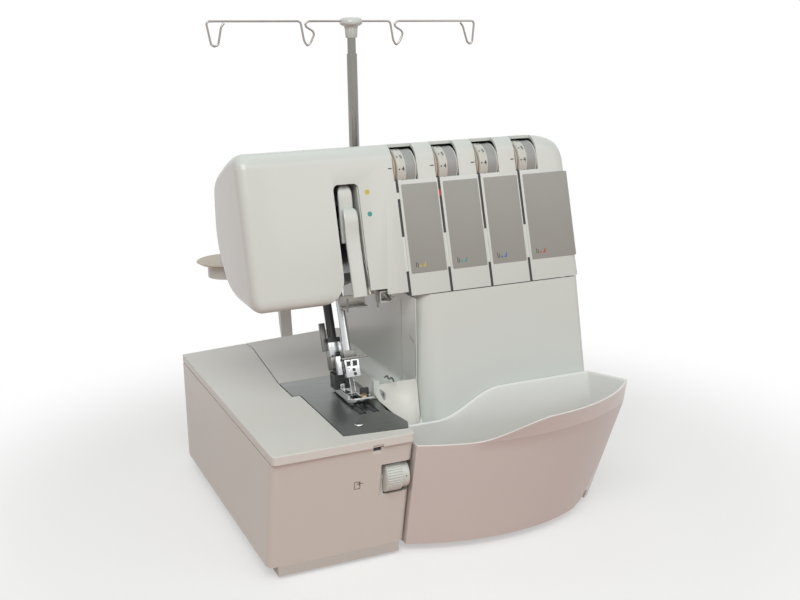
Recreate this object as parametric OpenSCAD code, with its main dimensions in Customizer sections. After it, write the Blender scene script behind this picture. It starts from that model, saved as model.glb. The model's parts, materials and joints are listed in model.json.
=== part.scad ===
// Overlock sewing machine (serger): four threads, telescopic thread stand, waste tray in front.
// Millimetres. X to the right, Y to the back, Z up. The machine stands on Z = 0.
// The modules draw in workshop coordinates, whose origin is the bed's front left corner at floor
// level. place() then moves each one, so that the whole is centred over the origin.

/* [Bed] */
// Width of the bed box left of the waste tray
bed_w = 111; // [105:0.5:112]
// How much shorter the bed is along its left side than at the right
bed_short = 18; // [14:1:20]
// Height of the cloth plate's top above the floor
bed_h = 109; // [108:0.5:112]
// Undercut of the bed's front, in degrees from upright
bed_lean = 14; // [10:0.5:16]
// Radius of the bed's upright corners
bed_r = 6; // [4:0.5:8]
// Depth of the cloth plate's side wall
lid_h = 7; // [6:0.5:8]
// Wall of all plastic covers
wall = 2.5; // [2:0.1:3]
// Gap between neighbouring covers
seam = 0.7; // [0.5:0.1:0.9]

/* [Base] */
// Height of the rubber feet under the base pan
foot_h = 3; // [2:0.5:4]
// Radius of a rubber foot
foot_r = 10; // [8:0.5:12]
// Height of the base pan's rim
base_h = 8; // [7:0.5:9]
// How far the base pan stands back from the bed's left side
base_inset = 8; // [6:0.5:10]

/* [Tower and looper cover] */
// Overall width of the covers
body_w = 290; // [288:1:296]
// Distance from the bed box to the left side of the tower
tower_gap = 29; // [28:0.5:31]
// Back of the tower
tower_back = 222; // [220:1:226]
// Depth of the machine at its right side
rear_d = 290; // [286:1:296]
// Front of the looper cover at the seam under the head
cover_front = 64; // [63:0.5:66]
// Backward lean of the looper cover's front, in degrees
cover_lean = 11.6; // [10.5:0.1:12.5]
// Height of the seam above the cloth plate
seam_up = 86.4; // [85:0.2:89]
// Where the looper cover ends and the tower begins, from front to back
cover_back = 89.7; // [89:0.1:91]
// Radius of the looper cover's left edge
cover_r = 21; // [18:0.5:24]
// Travel of the looper cover to the right
cover_slide = 8; // [6:0.5:9]

/* [Head] */
// Left end of the head
head_x = 13; // [10:0.5:18]
// Height of the head's top above the cloth plate
head_up = 200; // [198:0.5:204]
// Backward lean of the head's front, in degrees
head_lean = 15.2; // [14.6:0.1:15.8]
// Rounding of the head's ends
head_r = 9; // [7:0.5:11]
// Distance from the needle to the left side of the slot for the take-up covers
slot_in = 11.2; // [10.2:0.2:12.2]
// Width of the slot for the take-up covers
slot_w = 20.6; // [19:0.2:22]
// How far the first tension slot lies left of the tower
tension_in = 6; // [4:0.5:7]
// Distance from the end of the last dial's field to the head's right end
tension_end = 11.2; // [10:0.2:14]
// Width of a tension slot
tension_slot = 2; // [1.8:0.1:2.6]
// Radius of a tension dial
dial_r = 15.5; // [14.5:0.5:15.5]

/* [Needle and presser foot] */
// Distance from the needle to the bed's right side
needle_in = 15.8; // [15:0.1:16.5]
// Needle's place from front to back, at its tip
needle_y = 84; // [83.5:0.1:84.5]
// Height of the needle's tip above the stitch plate
needle_gap = 2.4; // [2:0.1:3]
// Backward lean of the needle bar, in degrees
bar_lean = 20; // [19.5:0.1:20.5]
// Radius of the needle bar
needle_bar_r = 3.2; // [3:0.1:3.4]
// Radius of the presser bar
presser_bar_r = 3.6; // [3.4:0.1:3.8]
// Distance between the two bars
bar_gap = 15.8; // [15.4:0.1:16.4]
// Height of the presser foot's sole above the stitch plate
foot_gap = 1.5; // [1.3:0.1:2]

/* [Drive] */
// Main shaft's place from front to back
main_y = 138; // [137:0.5:139]
// Main shaft's height
main_z = 60; // [58:0.5:62]
// Radius of the main shaft
shaft_r = 6; // [5:0.5:7]
// Radius of the belt pulley on the main shaft
pulley_r = 28; // [26:0.5:30]
// Radius of the motor's pulley
motor_pulley_r = 8; // [7:0.5:9]
// Distance from the main shaft to the motor, from front to back
belt_reach = 52; // [50:1:56]
// Radius of the handwheel
wheel_r = 34; // [30:1:38]
// Thickness of the handwheel
wheel_t = 21; // [18:1:24]
// Running clearance between a shaft and its bore
fit = 0.05; // [0.03:0.01:0.08]

/* [Waste tray] */
// How far the tray's rim lies below the cloth plate at its low left end
tray_low_down = 14; // [12:0.5:16]
// How far the tray's rim stands above the cloth plate at its high right end
tray_high_up = 8; // [6:0.5:9]
// How far the tray reaches in front of the bed
tray_reach = 34; // [30:1:38]

/* [Thread stand] */
// Height of the spool bar's top above the cloth plate
stand_up = 89; // [87:0.5:93]
// Radius of a spool disc
disc_r = 27; // [24:0.5:28]
// Distance from one spool pin to the next
spool_pitch = 80.2; // [78:0.1:83]
// Height of a spool pin above its disc
spool_h = 62; // [50:1:75]
// Height of the thread tree's bar above the cloth plate
tree_up = 293; // [283:1:301]
// Width of the thread tree
tree_w = 250; // [240:1:256]
// Radius of the mast's middle tube
mast_r = 4.6; // [4.2:0.1:5]
// Wall of the mast's tubes
tube_wall = 0.8; // [0.6:0.1:1]

/* [Hidden] */
$fn = 48;
eps = 0.02;

// Heights and reference lines
lid_bottom = bed_h - lid_h;
box_top = lid_bottom - seam;
base_z = foot_h;
box_bottom = base_z + base_h;
seam_z = bed_h + seam_up;
head_bottom = seam_z - 1.4;
head_top = bed_h + head_up;
lid_front = 0;
box_front = 2.4;
wheel_out = body_w + 4 + wheel_t;
box_low_y = box_front + (box_top - box_bottom) * tan(bed_lean);
right_front = 56;
right_wall_top = bed_h - 29;
bed_d = rear_d - bed_short;
tower_x = bed_w + tower_gap;
tension_x = tower_x - tension_in;
tension_pitch = (body_w - tension_x - tension_end) / 4;
motor_y = main_y + belt_reach;
needle_x = bed_w - needle_in;
slot_x = needle_x - slot_in;
stand_z = bed_h + stand_up;
tree_z = bed_h + tree_up;
tray_low = bed_h - tray_low_down;
tray_high = bed_h + tray_high_up;
rear_step_x = tower_x;

// Leaning faces
function column_y(z) = cover_front + (z - seam_z) * tan(cover_lean);
function head_y(z) = cover_front + (z - seam_z) * tan(head_lean);
function box_y(z) = box_front + (box_top - z) * tan(bed_lean);
function rear_y(x) = bed_d + (rear_d - bed_d) * min(x, rear_step_x) / rear_step_x;

// Cloth plate's outline: it swings about its pivot, clear of the deck
pivot_x = 10;
pivot_y = bed_d - 8;
pivot_r = 3;
plate_x = bed_w - 50;
plate_tail_x = plate_x - 6.5;
plate_step_y = 116.5;
plate_back_y = 153;
plate_front_y = 17.6;
lid_split_r = plate_tail_x + 8.9 - pivot_x;

// Stitch plate and the points that its openings follow
plate_t = 2.3;
plate_z = bed_h - 0.2;
needle_z = plate_z + 0.2 + needle_gap;
bar_x = needle_x;
presser_x = needle_x - 5.6;
needle_pair = 3.5;

// Needle drive. The rocker shaft's centre and the lever's length are set by the bar
rocker_y = 156;
rocker_z = seam_z + 36.6;
rocker_r = 4;
rocker_dy = rocker_y - needle_y;
rocker_dz = rocker_z - needle_z;
lever_l = rocker_dy * cos(bar_lean) - rocker_dz * sin(bar_lean);
collar_at = rocker_dy * sin(bar_lean) + rocker_dz * cos(bar_lean);
rod_top_y = 112;
rod_lever = rocker_y - rod_top_y;
rod_foot_z = main_z + 54;
rod_lean = 6.4;
bush_low = 93;
bush_high = 155;
bush_t = 7;
bush_wall = 2;

// Frame walls
boss_h = 5;
floor_z = base_z + boss_h;
floor_t = 6;
frame_l = plate_x - 3;
frame_m = tower_x + 6;
frame_r = body_w - 28;
frame_t = 6;
frame_back = 215;
frame_front = 92;

// Looper cover hinge
hinge_z = bed_h + 14;
hinge_y = column_y(hinge_z) + 6.5;
hinge_r = 2.5;
cover_top_r = norm([seam_z - seam - hinge_z, column_y(seam_z - seam) - hinge_y]);

// Tension dials
dial_y = 103.5;
dial_z = head_top - 20.5;
dial_w = 17.5;

// Thread stand
mast_x = body_w - 128.4;
bar_half = 17.5;
mast_y = tower_back + bar_half;
bar_t = 12;
disc_t = 2.4;

// Motor
motor_r = 23;
motor_x = frame_r - 66;
pulley_x = body_w - 17;
pulley_w = 9;

module place() {
  translate([-wheel_out / 2, (tray_reach - rear_d) / 2, 0]) children();
}

// Extrudes a drawing of (y, z) from x0 to x1
module along_x(x0, x1) {
  translate([x0, 0, 0]) rotate([90, 0, 90]) linear_extrude(x1 - x0) children();
}

// Extrudes a drawing of (x, z) from y0 to y1
module along_y(y0, y1) {
  translate([0, y1, 0]) rotate([90, 0, 0]) linear_extrude(y1 - y0) children();
}

// Box from one corner to the other
module block(low, high) {
  translate(low) cube(high - low);
}

module rod_x(x0, x1, y, z, r) {
  translate([x0, y, z]) rotate([0, 90, 0]) cylinder(r = r, h = x1 - x0);
}

module rod_y(y0, y1, x, z, r) {
  translate([x, y0, z]) rotate([-90, 0, 0]) cylinder(r = r, h = y1 - y0);
}

module rod_z(z0, z1, x, y, r) {
  translate([x, y, z0]) cylinder(r = r, h = z1 - z0);
}

// Frame of the leaning needle bar: its Z runs up the bar from the needle's tip
module on_needle_bar() {
  translate([bar_x, needle_y, needle_z]) rotate([-bar_lean, 0, 0]) children();
}

module on_presser_bar() {
  on_needle_bar() translate([presser_x - bar_x, bar_gap, 0]) children();
}

// Rectangle with four round corners
module round_rect(x0, y0, x1, y1, r) {
  translate([x0 + r, y0]) square([x1 - x0 - 2 * r, y1 - y0]);
  translate([x0, y0 + r]) square([x1 - x0, y1 - y0 - 2 * r]);
  for (x = [x0 + r, x1 - r], y = [y0 + r, y1 - r]) translate([x, y]) circle(r);
}

// Solid between outlines of equal point count, given from the bottom up
module loft(rings) {
  n = len(rings[0]);
  m = len(rings);
  polyhedron(
    points = [for (ring = rings) each ring],
    faces = concat(
      [[for (i = [0 : n - 1]) i]],
      [for (k = [0 : m - 2], i = [0 : n - 1])
        each [[k * n + i, (k + 1) * n + i, (k + 1) * n + (i + 1) % n],
              [k * n + i, (k + 1) * n + (i + 1) % n, k * n + (i + 1) % n]]],
      [[for (i = [n - 1 : -1 : 0]) (m - 1) * n + i]]));
}

// ---------------------------------------------------------------- base and bed

module base_pan() {
  color([0.80, 0.79, 0.76]) {
    difference() {
      union() {
        translate([0, 0, base_z]) linear_extrude(base_h) base_outline(0);
        for (p = foot_places) rod_z(base_z, floor_z, p[0], p[1], foot_r + 2);
        for (p = frame_screws) rod_z(base_z, floor_z, p[0], p[1], 6);
      }
      difference() {
        translate([0, 0, base_z + wall + 0.5]) linear_extrude(base_h) base_outline(wall);
        for (p = foot_places) rod_z(base_z, floor_z, p[0], p[1], foot_r + 2);
        for (p = frame_screws) rod_z(base_z, floor_z, p[0], p[1], 6);
      }
      for (p = frame_screws) rod_z(base_z + 1, floor_z + 1, p[0], p[1], frame_screw_r);
      for (p = foot_places) rod_z(base_z - 1, base_z + 12, p[0], p[1], foot_stem_r);
    }
  }
}

foot_stem_r = 3;
frame_screw_r = 2.5;
frame_screws = [[40, 120], [40, 200], [body_w - 50, 110], [frame_m + 14, 205]];
foot_places = [[26, 44], [bed_w - 23, 44], [26, bed_d - 24], [body_w - 50, 78],
  [body_w - 50, rear_d - 34]];

module base_outline(inset) {
  polygon([
    [base_inset + inset, box_low_y + inset], [bed_w - 5 - inset, box_low_y + inset],
    [bed_w - 5 - inset, right_front + 2 + inset], [body_w - 6 - inset, right_front + 2 + inset],
    [body_w - 6 - inset, rear_d - 8 - inset], [tower_x, rear_d - 8 - inset],
    [base_inset + inset, bed_d - 8 - inset]]);
}

module rubber_feet() {
  color([0.16, 0.16, 0.17])
    for (p = foot_places) {
      rod_z(0, foot_h, p[0], p[1], foot_r);
      rod_z(foot_h, floor_z - 1, p[0], p[1], foot_stem_r);
    }
}

// Leaning prism that rounds the upright front corners of the bed box
module bed_lean_prism(inset) {
  translate([0, box_y(0), 0]) rotate([bed_lean, 0, 0]) translate([0, 0, -120])
    linear_extrude(bed_h + 240)
      round_rect(inset, inset * cos(bed_lean), bed_w - inset, 600, bed_r - inset / 2);
}

module bed_outline(inset) {
  polygon([
    [inset, inset - 40], [bed_w - inset, inset - 40], [bed_w - inset, right_front + inset],
    [body_w - wall - 0.3 - (inset > 0 ? inset : 0), right_front + inset],
    [body_w - wall - 0.3 - (inset > 0 ? inset : 0), rear_d - inset],
    [rear_step_x, rear_d - inset], [inset, bed_d - inset]]);
}

module bed_body(inset) {
  intersection() {
    translate([0, 0, box_bottom - (inset > 0 ? 1 : 0)])
      linear_extrude(box_top - box_bottom + (inset > 0 ? 2 : 0)) bed_outline(inset);
    union() {
      bed_lean_prism(inset);
      block([bed_w - bed_r * 2, right_front + inset, 0], [body_w, rear_d + 5, bed_h + 20]);
    }
  }
}

// Cutting width dial, in a recess that is open to the tray side
width_dial_x = bed_w - 16.5;
width_dial_z = bed_h - 37;
width_dial_r = 12.5;
width_dial_y = box_y(width_dial_z) + 7.5;
width_axle_r = 3;

module bed_shell() {
  color([0.82, 0.82, 0.79])
    difference() {
      bed_body(0);
      bed_body(wall);
      // the looper cover swings over this wall
      block([bed_w - eps, right_front - 1, right_wall_top], [tower_x + 60, right_front + wall + 1, bed_h]);
      block([bed_w - wall - 1, cover_sweep_y, right_wall_top], [bed_w + 1, frame_front, bed_h]);
      // window of the cutting width dial
      block([width_dial_x - 9, -20, width_dial_z - width_dial_r - 1],
            [bed_w + 1, width_dial_y + width_dial_r + 2, width_dial_z + width_dial_r + 1]);
      // slot of the release button
      block([release_x - 3.2, -5, box_top - 5], [release_x + 3.2, 12, box_top + 1]);
      // the side cover closes this opening to the drive
      block([body_w - 12, 96, box_bottom + 8], [body_w, rear_d - 14, box_top - 6]);
    }
  // bracket and axle of the cutting width dial
  color([0.82, 0.82, 0.79]) {
    intersection() {
      bed_body(1);
      block([width_dial_x - 11.5, 0, width_dial_z - 10], [width_dial_x - 9, width_dial_y + 5,
          width_dial_z + 10]);
    }
    rod_x(width_dial_x - 9.2, width_dial_x + 15, width_dial_y, width_dial_z, width_axle_r - fit);
  }
  // boss for the cloth plate's pivot
  color([0.82, 0.82, 0.79])
    difference() {
      union() {
        rod_z(box_top - 14, box_top, pivot_x, pivot_y, pivot_r + 3);
        block([wall - eps, pivot_y - 2, box_top - 14], [pivot_x, pivot_y + 2, box_top]);
      }
      rod_z(box_top - 15, box_top + 1, pivot_x, pivot_y, pivot_r + fit);
    }
}

release_x = bed_w - 30;
cover_sweep_y = right_front - 1;

// Edge between the swinging cloth plate and the deck, with a gap g on the deck's side
lid_end_a = asin((rear_y(plate_tail_x + 6) - 1.06 - pivot_y) / lid_split_r);
function lid_arc(g) = [for (a = [-2 : 3 : lid_end_a])
  [pivot_x + (lid_split_r + g) * cos(a), pivot_y + (lid_split_r + g) * sin(a)]];
function lid_corner_x(g) = pivot_x + (lid_split_r + g) * cos(lid_end_a);

module lid_outline() {
  polygon(concat(
    [[0, lid_front], [bed_w, lid_front], [bed_w, plate_front_y - 6.5], [plate_x - seam,
        plate_front_y - 0.8],
     [plate_x - seam, plate_step_y], [plate_tail_x - seam, plate_step_y], [plate_tail_x - seam,
         plate_back_y + 1]],
    lid_arc(0),
    [[lid_corner_x(0), rear_y(lid_corner_x(0))], [0, bed_d]]));
}

module cloth_plate() {
  color([0.84, 0.84, 0.80]) {
    difference() {
      intersection() {
        translate([0, 0, lid_bottom]) linear_extrude(lid_h) lid_outline();
        translate([0, 0, lid_bottom - 1]) linear_extrude(lid_h + 2)
          round_rect(0, lid_front, bed_w, 500, bed_r - 2);
      }
      // hollow underside behind the front bar
      block([wall, plate_front_y, lid_bottom - 1], [plate_tail_x - seam - wall, pivot_y - 12,
          bed_h - wall]);
      // grip slot over the release button
      block([release_x - 4, -1, lid_bottom - 1], [release_x + 4, 1.4, lid_bottom + 2]);
    }
    rod_z(box_top - 12, lid_bottom + 1, pivot_x, pivot_y, pivot_r);
  }
}

module lid_release() {
  color([0.10, 0.10, 0.11])
    block([release_x - 2.7, box_y(box_top) + 1.2, box_top - 4.5], [release_x + 2.7, 12.5, box_top - 0.2]);
}

deck_front = 91;
module bed_deck() {
  color([0.82, 0.82, 0.79]) {
    translate([0, 0, bed_h - wall]) linear_extrude(wall) deck_outline();
    // skirt that stands on the bed shell
    translate([0, 0, box_top]) linear_extrude(bed_h - box_top) difference() {
      deck_outline();
      deck_inner();
    }
  }
}

module deck_outline() {
  polygon(concat(
    [[plate_tail_x, plate_back_y + seam]],
    lid_arc(seam),
    [[lid_corner_x(seam), rear_y(lid_corner_x(seam))], [rear_step_x, rear_d], [body_w - wall - 0.3,
        rear_d], [body_w - wall - 0.3, tower_back + 0.5],
     [tower_x - 0.5, tower_back + 0.5], [tower_x - 0.5, deck_front], [plate_right + 0.6, deck_front],
     [plate_right + 0.6, plate_back_y + seam]]));
}

module deck_inner() {
  polygon([
    [plate_tail_x + 14, plate_back_y + 4], [plate_right + 3, plate_back_y + 4], [plate_right + 3,
        deck_front + 8],
    [tower_x - 3, deck_front + 8], [tower_x - 3, tower_back + 3], [body_w - wall - 3, tower_back + 3],
    [body_w - wall - 3, rear_d - 3], [rear_step_x, rear_d - 3], [plate_tail_x + 14,
        rear_y(plate_tail_x + 14) - 7.1]]);
}

// ---------------------------------------------------------------- stitch plate and feed

plate_right = bed_w + 3;
feed_rows = [[-6.6, -2.2], [4.4, 8.8]];
main_feed = [93, 110];
diff_feed = [57.5, 73];

module stitch_plate() {
  color([0.55, 0.56, 0.56])
    difference() {
      translate([0, 0, plate_z - plate_t]) linear_extrude(plate_t)
        difference() {
          polygon([[plate_x, plate_front_y], [plate_right - 3.6, 12.6], [plate_right + 1, 24],
            [plate_right - 1, 42], [plate_right - 3.8, 56], [plate_right - 2.4, 66],
            [plate_right - 0.6, 69], [plate_right - 0.6, 85], [plate_right, 88], [plate_right,
                plate_back_y],
            [plate_tail_x, plate_back_y], [plate_tail_x, plate_step_y + 0.7], [plate_x,
                plate_step_y + 0.7]]);
          // feed dog slots
          for (row = feed_rows, span = [main_feed, diff_feed])
            translate([needle_x + row[0] - 0.7, span[0] - 3.2])
              square([row[1] - row[0] + 1.4, span[1] - span[0] + 6]);
          // needle slot
          translate([needle_x - needle_pair / 2 - 1.6, needle_y - 7.5]) square([needle_pair + 3.2, 11]);
        }
      for (p = plate_screw_places) rod_z(plate_z - 5, plate_z + 1, p[0], p[1], plate_screw_r);
    }
}

plate_screw_r = 2;
plate_screw_places = [[plate_x + 18.5, 35], [plate_right - 8, 146]];

module feed_dog(span, z_bar, x_bar, w_bar) {
  difference() {
    union() {
      block([needle_x + feed_rows[0][0], span[0], z_bar], [needle_x + feed_rows[1][1], span[1],
          plate_z - plate_t - 0.5]);
      for (row = feed_rows)
        block([needle_x + row[0], span[0], plate_z - plate_t - 1], [needle_x + row[1], span[1],
            plate_z - 0.6]);
      block([x_bar, span[0], z_bar], [x_bar + w_bar, feed_guide_y + 22, plate_z - plate_t - 0.5]);
      for (row = feed_rows, y = [span[0] : 1.5 : span[1] - 1.5])
        translate([needle_x + row[0], y, plate_z - 0.6]) rotate([90, 0, 90])
          linear_extrude(row[1] - row[0]) polygon([[0, 0], [1.5, 0], [1.2, 0.9]]);
    }
    // the needles' well
    block([needle_x - 3.8, needle_y - 8, z_bar - 1], [needle_x + 3.8, needle_y + 5, plate_z]);
  }
}

feed_guide_y = 126;
feed_bar_z = bed_h - 5.4;

module feed_dog_main() {
  color([0.62, 0.63, 0.64]) feed_dog(main_feed, feed_bar_z, needle_x + 4.4, 4);
}

module feed_dog_diff() {
  color([0.62, 0.63, 0.64]) feed_dog_front();
}

module feed_dog_front() {
  difference() {
    union() {
      block([needle_x + feed_rows[0][0], diff_feed[0], feed_bar_z],
            [needle_x + feed_rows[1][1], diff_feed[1], plate_z - plate_t - 0.5]);
      for (row = feed_rows)
        block([needle_x + row[0], diff_feed[0], plate_z - plate_t - 1],
              [needle_x + row[1], diff_feed[1], plate_z - 0.6]);
      for (row = feed_rows, y = [diff_feed[0] : 1.5 : diff_feed[1] - 1.5])
        translate([needle_x + row[0], y, plate_z - 0.6]) rotate([90, 0, 90])
          linear_extrude(row[1] - row[0]) polygon([[0, 0], [1.5, 0], [1.2, 0.9]]);
      // side bar that passes left of the main feed dog
      block([needle_x - 14, diff_feed[0], feed_bar_z], [needle_x + feed_rows[0][0] + eps,
          diff_feed[0] + 6, bed_h - 3]);
      block([needle_x - 14, diff_feed[0], feed_bar_z], [needle_x - 10, feed_guide_y + 22, bed_h - 3]);
    }
  }
}

module lower_knife() {
  color([0.70, 0.71, 0.72]) {
    block([plate_right - 0.1, 70, bed_h - 21], [knife_x - 0.3, 84, bed_h - 0.2]);
    block([plate_right - 4.5, 70, bed_h - 21], [plate_right - 0.1, frame_front + 8, bed_h - 16]);
  }
}

knife_x = plate_right + 1.5;
knife_rod_x = knife_x + 3.4;
knife_rod_y = 76.5;
knife_rod_r = 2;

module upper_knife() {
  color([0.66, 0.67, 0.68]) {
    difference() {
      union() {
        block([knife_x, 71, bed_h - 17], [knife_x + 1.2, 81, bed_h + 8]);
        block([knife_x, 71, bed_h - 49], [knife_x + 6.5, 82, bed_h - 13]);
      }
      rod_z(bed_h - 50, bed_h - 12, knife_rod_x, knife_rod_y, knife_rod_r + fit);
    }
  }
}

looper_z = 42;
lower_looper_x = needle_x - 19.2;
upper_looper_x = needle_x + 10.8;
looper_pin_r = 4;

module looper(x, y0, y1, tip, bend) {
  difference() {
    union() {
      rod_y(y0, frame_front + 7.5, x, looper_z, looper_pin_r + 3);
      along_y(y0, y1) polygon([[x - 5, looper_z], [x + 5, looper_z], [bend[0] + 3, bend[1] - 4],
        [bend[0] + 3, bend[1] - 1], [tip[0], tip[1]], [bend[0] - 3, bend[1] + 2], [bend[0] - 4,
            bend[1] - 6]]);
    }
    rod_y(y0 - 1, frame_front + 9, x, looper_z, looper_pin_r + fit);
  }
}

module lower_looper() {
  color([0.74, 0.75, 0.76]) looper(lower_looper_x, 86.4, 88, [lower_looper_x + 14, bed_h - 11],
      [lower_looper_x, bed_h - 12]);
}

module upper_looper() {
  color([0.74, 0.75, 0.76]) looper(upper_looper_x, 75.5, 77, [upper_looper_x - 12, bed_h - 9.5],
      [upper_looper_x - 2, bed_h - 16]);
}

// ---------------------------------------------------------------- inner frame

// Outline of what stands inside the head's sloping back, from the seam up to the tie beam
beam_z = seam_z + 66;
head_back_inside = [[116, seam_z + 4], [131, seam_z + 7], [146, seam_z + 19], [157, seam_z + 32],
  [162, seam_z + 43], [162, seam_z + 55], [150, beam_z]];

module frame_wall(x) {
  along_x(x, x + frame_t)
    polygon(concat([[frame_front, floor_z], [frame_back, floor_z], [frame_back, seam_z - 8],
      [116, seam_z - 8]], head_back_inside, [[104, beam_z], [frame_front, seam_z + 20]]));
}

module machine_frame() {
  color([0.60, 0.61, 0.62])
    difference() {
      union() {
        block([20, right_front + 6, floor_z], [frame_r + 13, frame_back, floor_z + floor_t]);
        frame_wall(frame_m);
        frame_wall(frame_r);
        // left wall under the deck
        block([frame_l, frame_front + 8, floor_z], [frame_l + frame_t, 200, bed_h - 11]);
        // looper bracket
        block([frame_l, frame_front + 8, floor_z], [upper_looper_x + 20, frame_front + 14, bed_h - 17]);
        // feed guide
        block([frame_l, feed_guide_y, bed_h - 25], [needle_x + 14, feed_guide_y + 9,
            plate_z - plate_t - 0.1]);
        // tie beams of the tower
        block([frame_m, 120, beam_z - 6], [frame_r + 1, 148, beam_z]);
        block([frame_m, 200, lug_beam_z - 6], [frame_r + 1, 208, lug_beam_z + 4]);
        // arm into the head with the lugs of both bars
        along_x(arm_x, frame_m + 1) polygon([[116, arm_z], [131, seam_z + 7], [146, seam_z + 19],
          [146, seam_z + 27], [116, seam_z + 27]]);
        along_x(arm_x, arm_x + frame_t) polygon(concat(head_back_inside, [[116, beam_z]]));
        bar_lug(bush_low);
        bar_lug(bush_high);
        // lifter pivot
        rod_x(lifter_x - 3, bar_x - 12.4, lifter_y, lifter_z, lifter_pin_r);
        block([bar_x - 14.5, lifter_y - 6, seam_z + 1], [bar_x - 12.4, lifter_y + 3, lifter_z + 4]);
        // knife guide rod and looper pins
        rod_z(floor_z, bed_h - 5, knife_rod_x, knife_rod_y, knife_rod_r);
        rod_y(75.5, frame_front + 10, upper_looper_x, looper_z, looper_pin_r);
        rod_y(86.4, frame_front + 10, lower_looper_x, looper_z, looper_pin_r);
        // lugs of the looper cover's rod
        for (x = cover_lugs) cover_lug(x);
      }
      // bores for the bushes and shafts
      for (x = [frame_l, frame_m, frame_r]) rod_x(x - 1, x + frame_t + 1, main_y, main_z,
          shaft_r + bush_wall);
      for (x = [frame_m, frame_r]) rod_x(x - 1, x + frame_t + 1, rocker_y, rocker_z, rocker_r + bush_wall);
      rod_x(arm_x - 1, arm_x + frame_t + 1, rocker_y, rocker_z, rocker_r + bush_wall);
      on_needle_bar() for (at = [bush_low, bush_high])
        translate([0, 0, at - 1]) cylinder(r = needle_bar_r + bush_wall, h = bush_t + 2);
      on_presser_bar() for (at = [bush_low, bush_high])
        translate([0, 0, at - 1]) cylinder(r = presser_bar_r + bush_wall, h = bush_t + 2);
      rod_x(frame_r - 1, frame_r + frame_t + 1, motor_y, main_z, 8);
      for (p = frame_screws) rod_z(floor_z - 1, floor_z + floor_t + 1, p[0], p[1], frame_screw_r);
      // ways of the feed bars
      block([needle_x + 3.9, feed_guide_y - 1, feed_bar_z - 0.6], [needle_x + 8.9, feed_guide_y + 10,
          bed_h]);
      block([needle_x - 14.6, feed_guide_y - 1, feed_bar_z - 0.6], [needle_x - 9.4, feed_guide_y + 10,
          bed_h]);
      for (x = cover_lugs) rod_x(x - 1, x + 8, hinge_y, hinge_z, hinge_r + fit);
    }
}

arm_x = slot_x + slot_w + 2.4;
arm_z = seam_z + 4;
cover_lugs = [body_w - 78, body_w - 38];
lug_beam_z = hinge_z + 33;
module cover_lug(x) {
  rod_x(x, x + 6, hinge_y, hinge_z, 3.7);
  block([x, hinge_y, hinge_z - 3.7], [x + 6, frame_front + 4, hinge_z + 3.7]);
  block([x, frame_front, hinge_z - 3.7], [x + 6, frame_front + 8, lug_beam_z]);
  block([x, frame_front + 6, lug_beam_z - 6], [x + 6, 205, lug_beam_z]);
}

module bar_lug(at) {
  on_needle_bar() translate([-14.5, -7.5, at]) cube([29.5, 7.5 + bar_gap + 8, bush_t]);
}

lifter_y = 140;
lifter_z = seam_z + 13.6;
lifter_x = 51;
lifter_pin_r = 2.5;

module bushes() {
  color([0.72, 0.53, 0.28]) {
    for (x = [frame_l, frame_m, frame_r])
      difference() {
        rod_x(x, x + frame_t, main_y, main_z, shaft_r + bush_wall);
        rod_x(x - 1, x + frame_t + 1, main_y, main_z, shaft_r + fit);
      }
    for (x = [arm_x, frame_m, frame_r])
      difference() {
        rod_x(x, x + frame_t, rocker_y, rocker_z, rocker_r + bush_wall);
        rod_x(x - 1, x + frame_t + 1, rocker_y, rocker_z, rocker_r + fit);
      }
    for (at = [bush_low, bush_high]) {
      on_needle_bar() translate([0, 0, at]) ring(needle_bar_r + bush_wall, needle_bar_r + fit, bush_t);
      on_presser_bar() translate([0, 0, at]) ring(presser_bar_r + bush_wall, presser_bar_r + fit, bush_t);
    }
  }
}

module ring(ro, ri, h) {
  difference() {
    cylinder(r = ro, h = h);
    translate([0, 0, -1]) cylinder(r = ri, h = h + 2);
  }
}

// ---------------------------------------------------------------- drive

module main_shaft() {
  color([0.70, 0.71, 0.73]) {
    rod_x(frame_l - 2, wheel_out - 6, main_y, main_z, shaft_r);
    for (x = [frame_l + 14, frame_l + 26, frame_m - 22]) rod_x(x, x + 5, main_y, main_z - 4, 12);
    rod_x(rod_x0, rod_x0 + 6, main_y, main_z - rod_throw, 13);
  }
}

rod_throw = 8;
rod_x0 = frame_r - 25;

module drive_pulley() {
  color([0.30, 0.31, 0.32])
    difference() {
      union() {
        rod_x(pulley_x, pulley_x + pulley_w, main_y, main_z, pulley_r);
        for (x = [pulley_x - 1, pulley_x + pulley_w])
          rod_x(x, x + 1, main_y, main_z, pulley_r + 2.5);
      }
      rod_x(pulley_x - 2, pulley_x + pulley_w + 2, main_y, main_z, shaft_r);
      for (a = [0 : 60 : 300])
        rod_x(pulley_x - 2, pulley_x + pulley_w + 2, main_y + 17 * cos(a), main_z + 17 * sin(a), 5);
    }
}

module handwheel() {
  color([0.80, 0.80, 0.77])
    translate([body_w + 4, main_y, main_z]) rotate([0, 90, 0])
      difference() {
        rotate_extrude() polygon([[shaft_r, 0], [wheel_r - 4, 0], [wheel_r, 4], [wheel_r, wheel_t - 5],
          [wheel_r - 5, wheel_t], [12, wheel_t - 2], [shaft_r, wheel_t - 2]]);
        for (a = [0 : 15 : 345]) rotate([0, 0, a]) translate([wheel_r + 1.4, 0, -1])
          cylinder(r = 2.4, h = wheel_t + 2);
      }
}

module motor() {
  color([0.22, 0.23, 0.25]) {
    rod_x(motor_x, frame_r - 6, motor_y, main_z, motor_r);
    rod_x(motor_x - 4, motor_x, motor_y, main_z, 10);
    difference() {
      rod_x(frame_r - 6, frame_r, motor_y, main_z, 12);
      rod_x(frame_r - 7, frame_r + 1, motor_y, main_z, 6);
    }
  }
}

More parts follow.
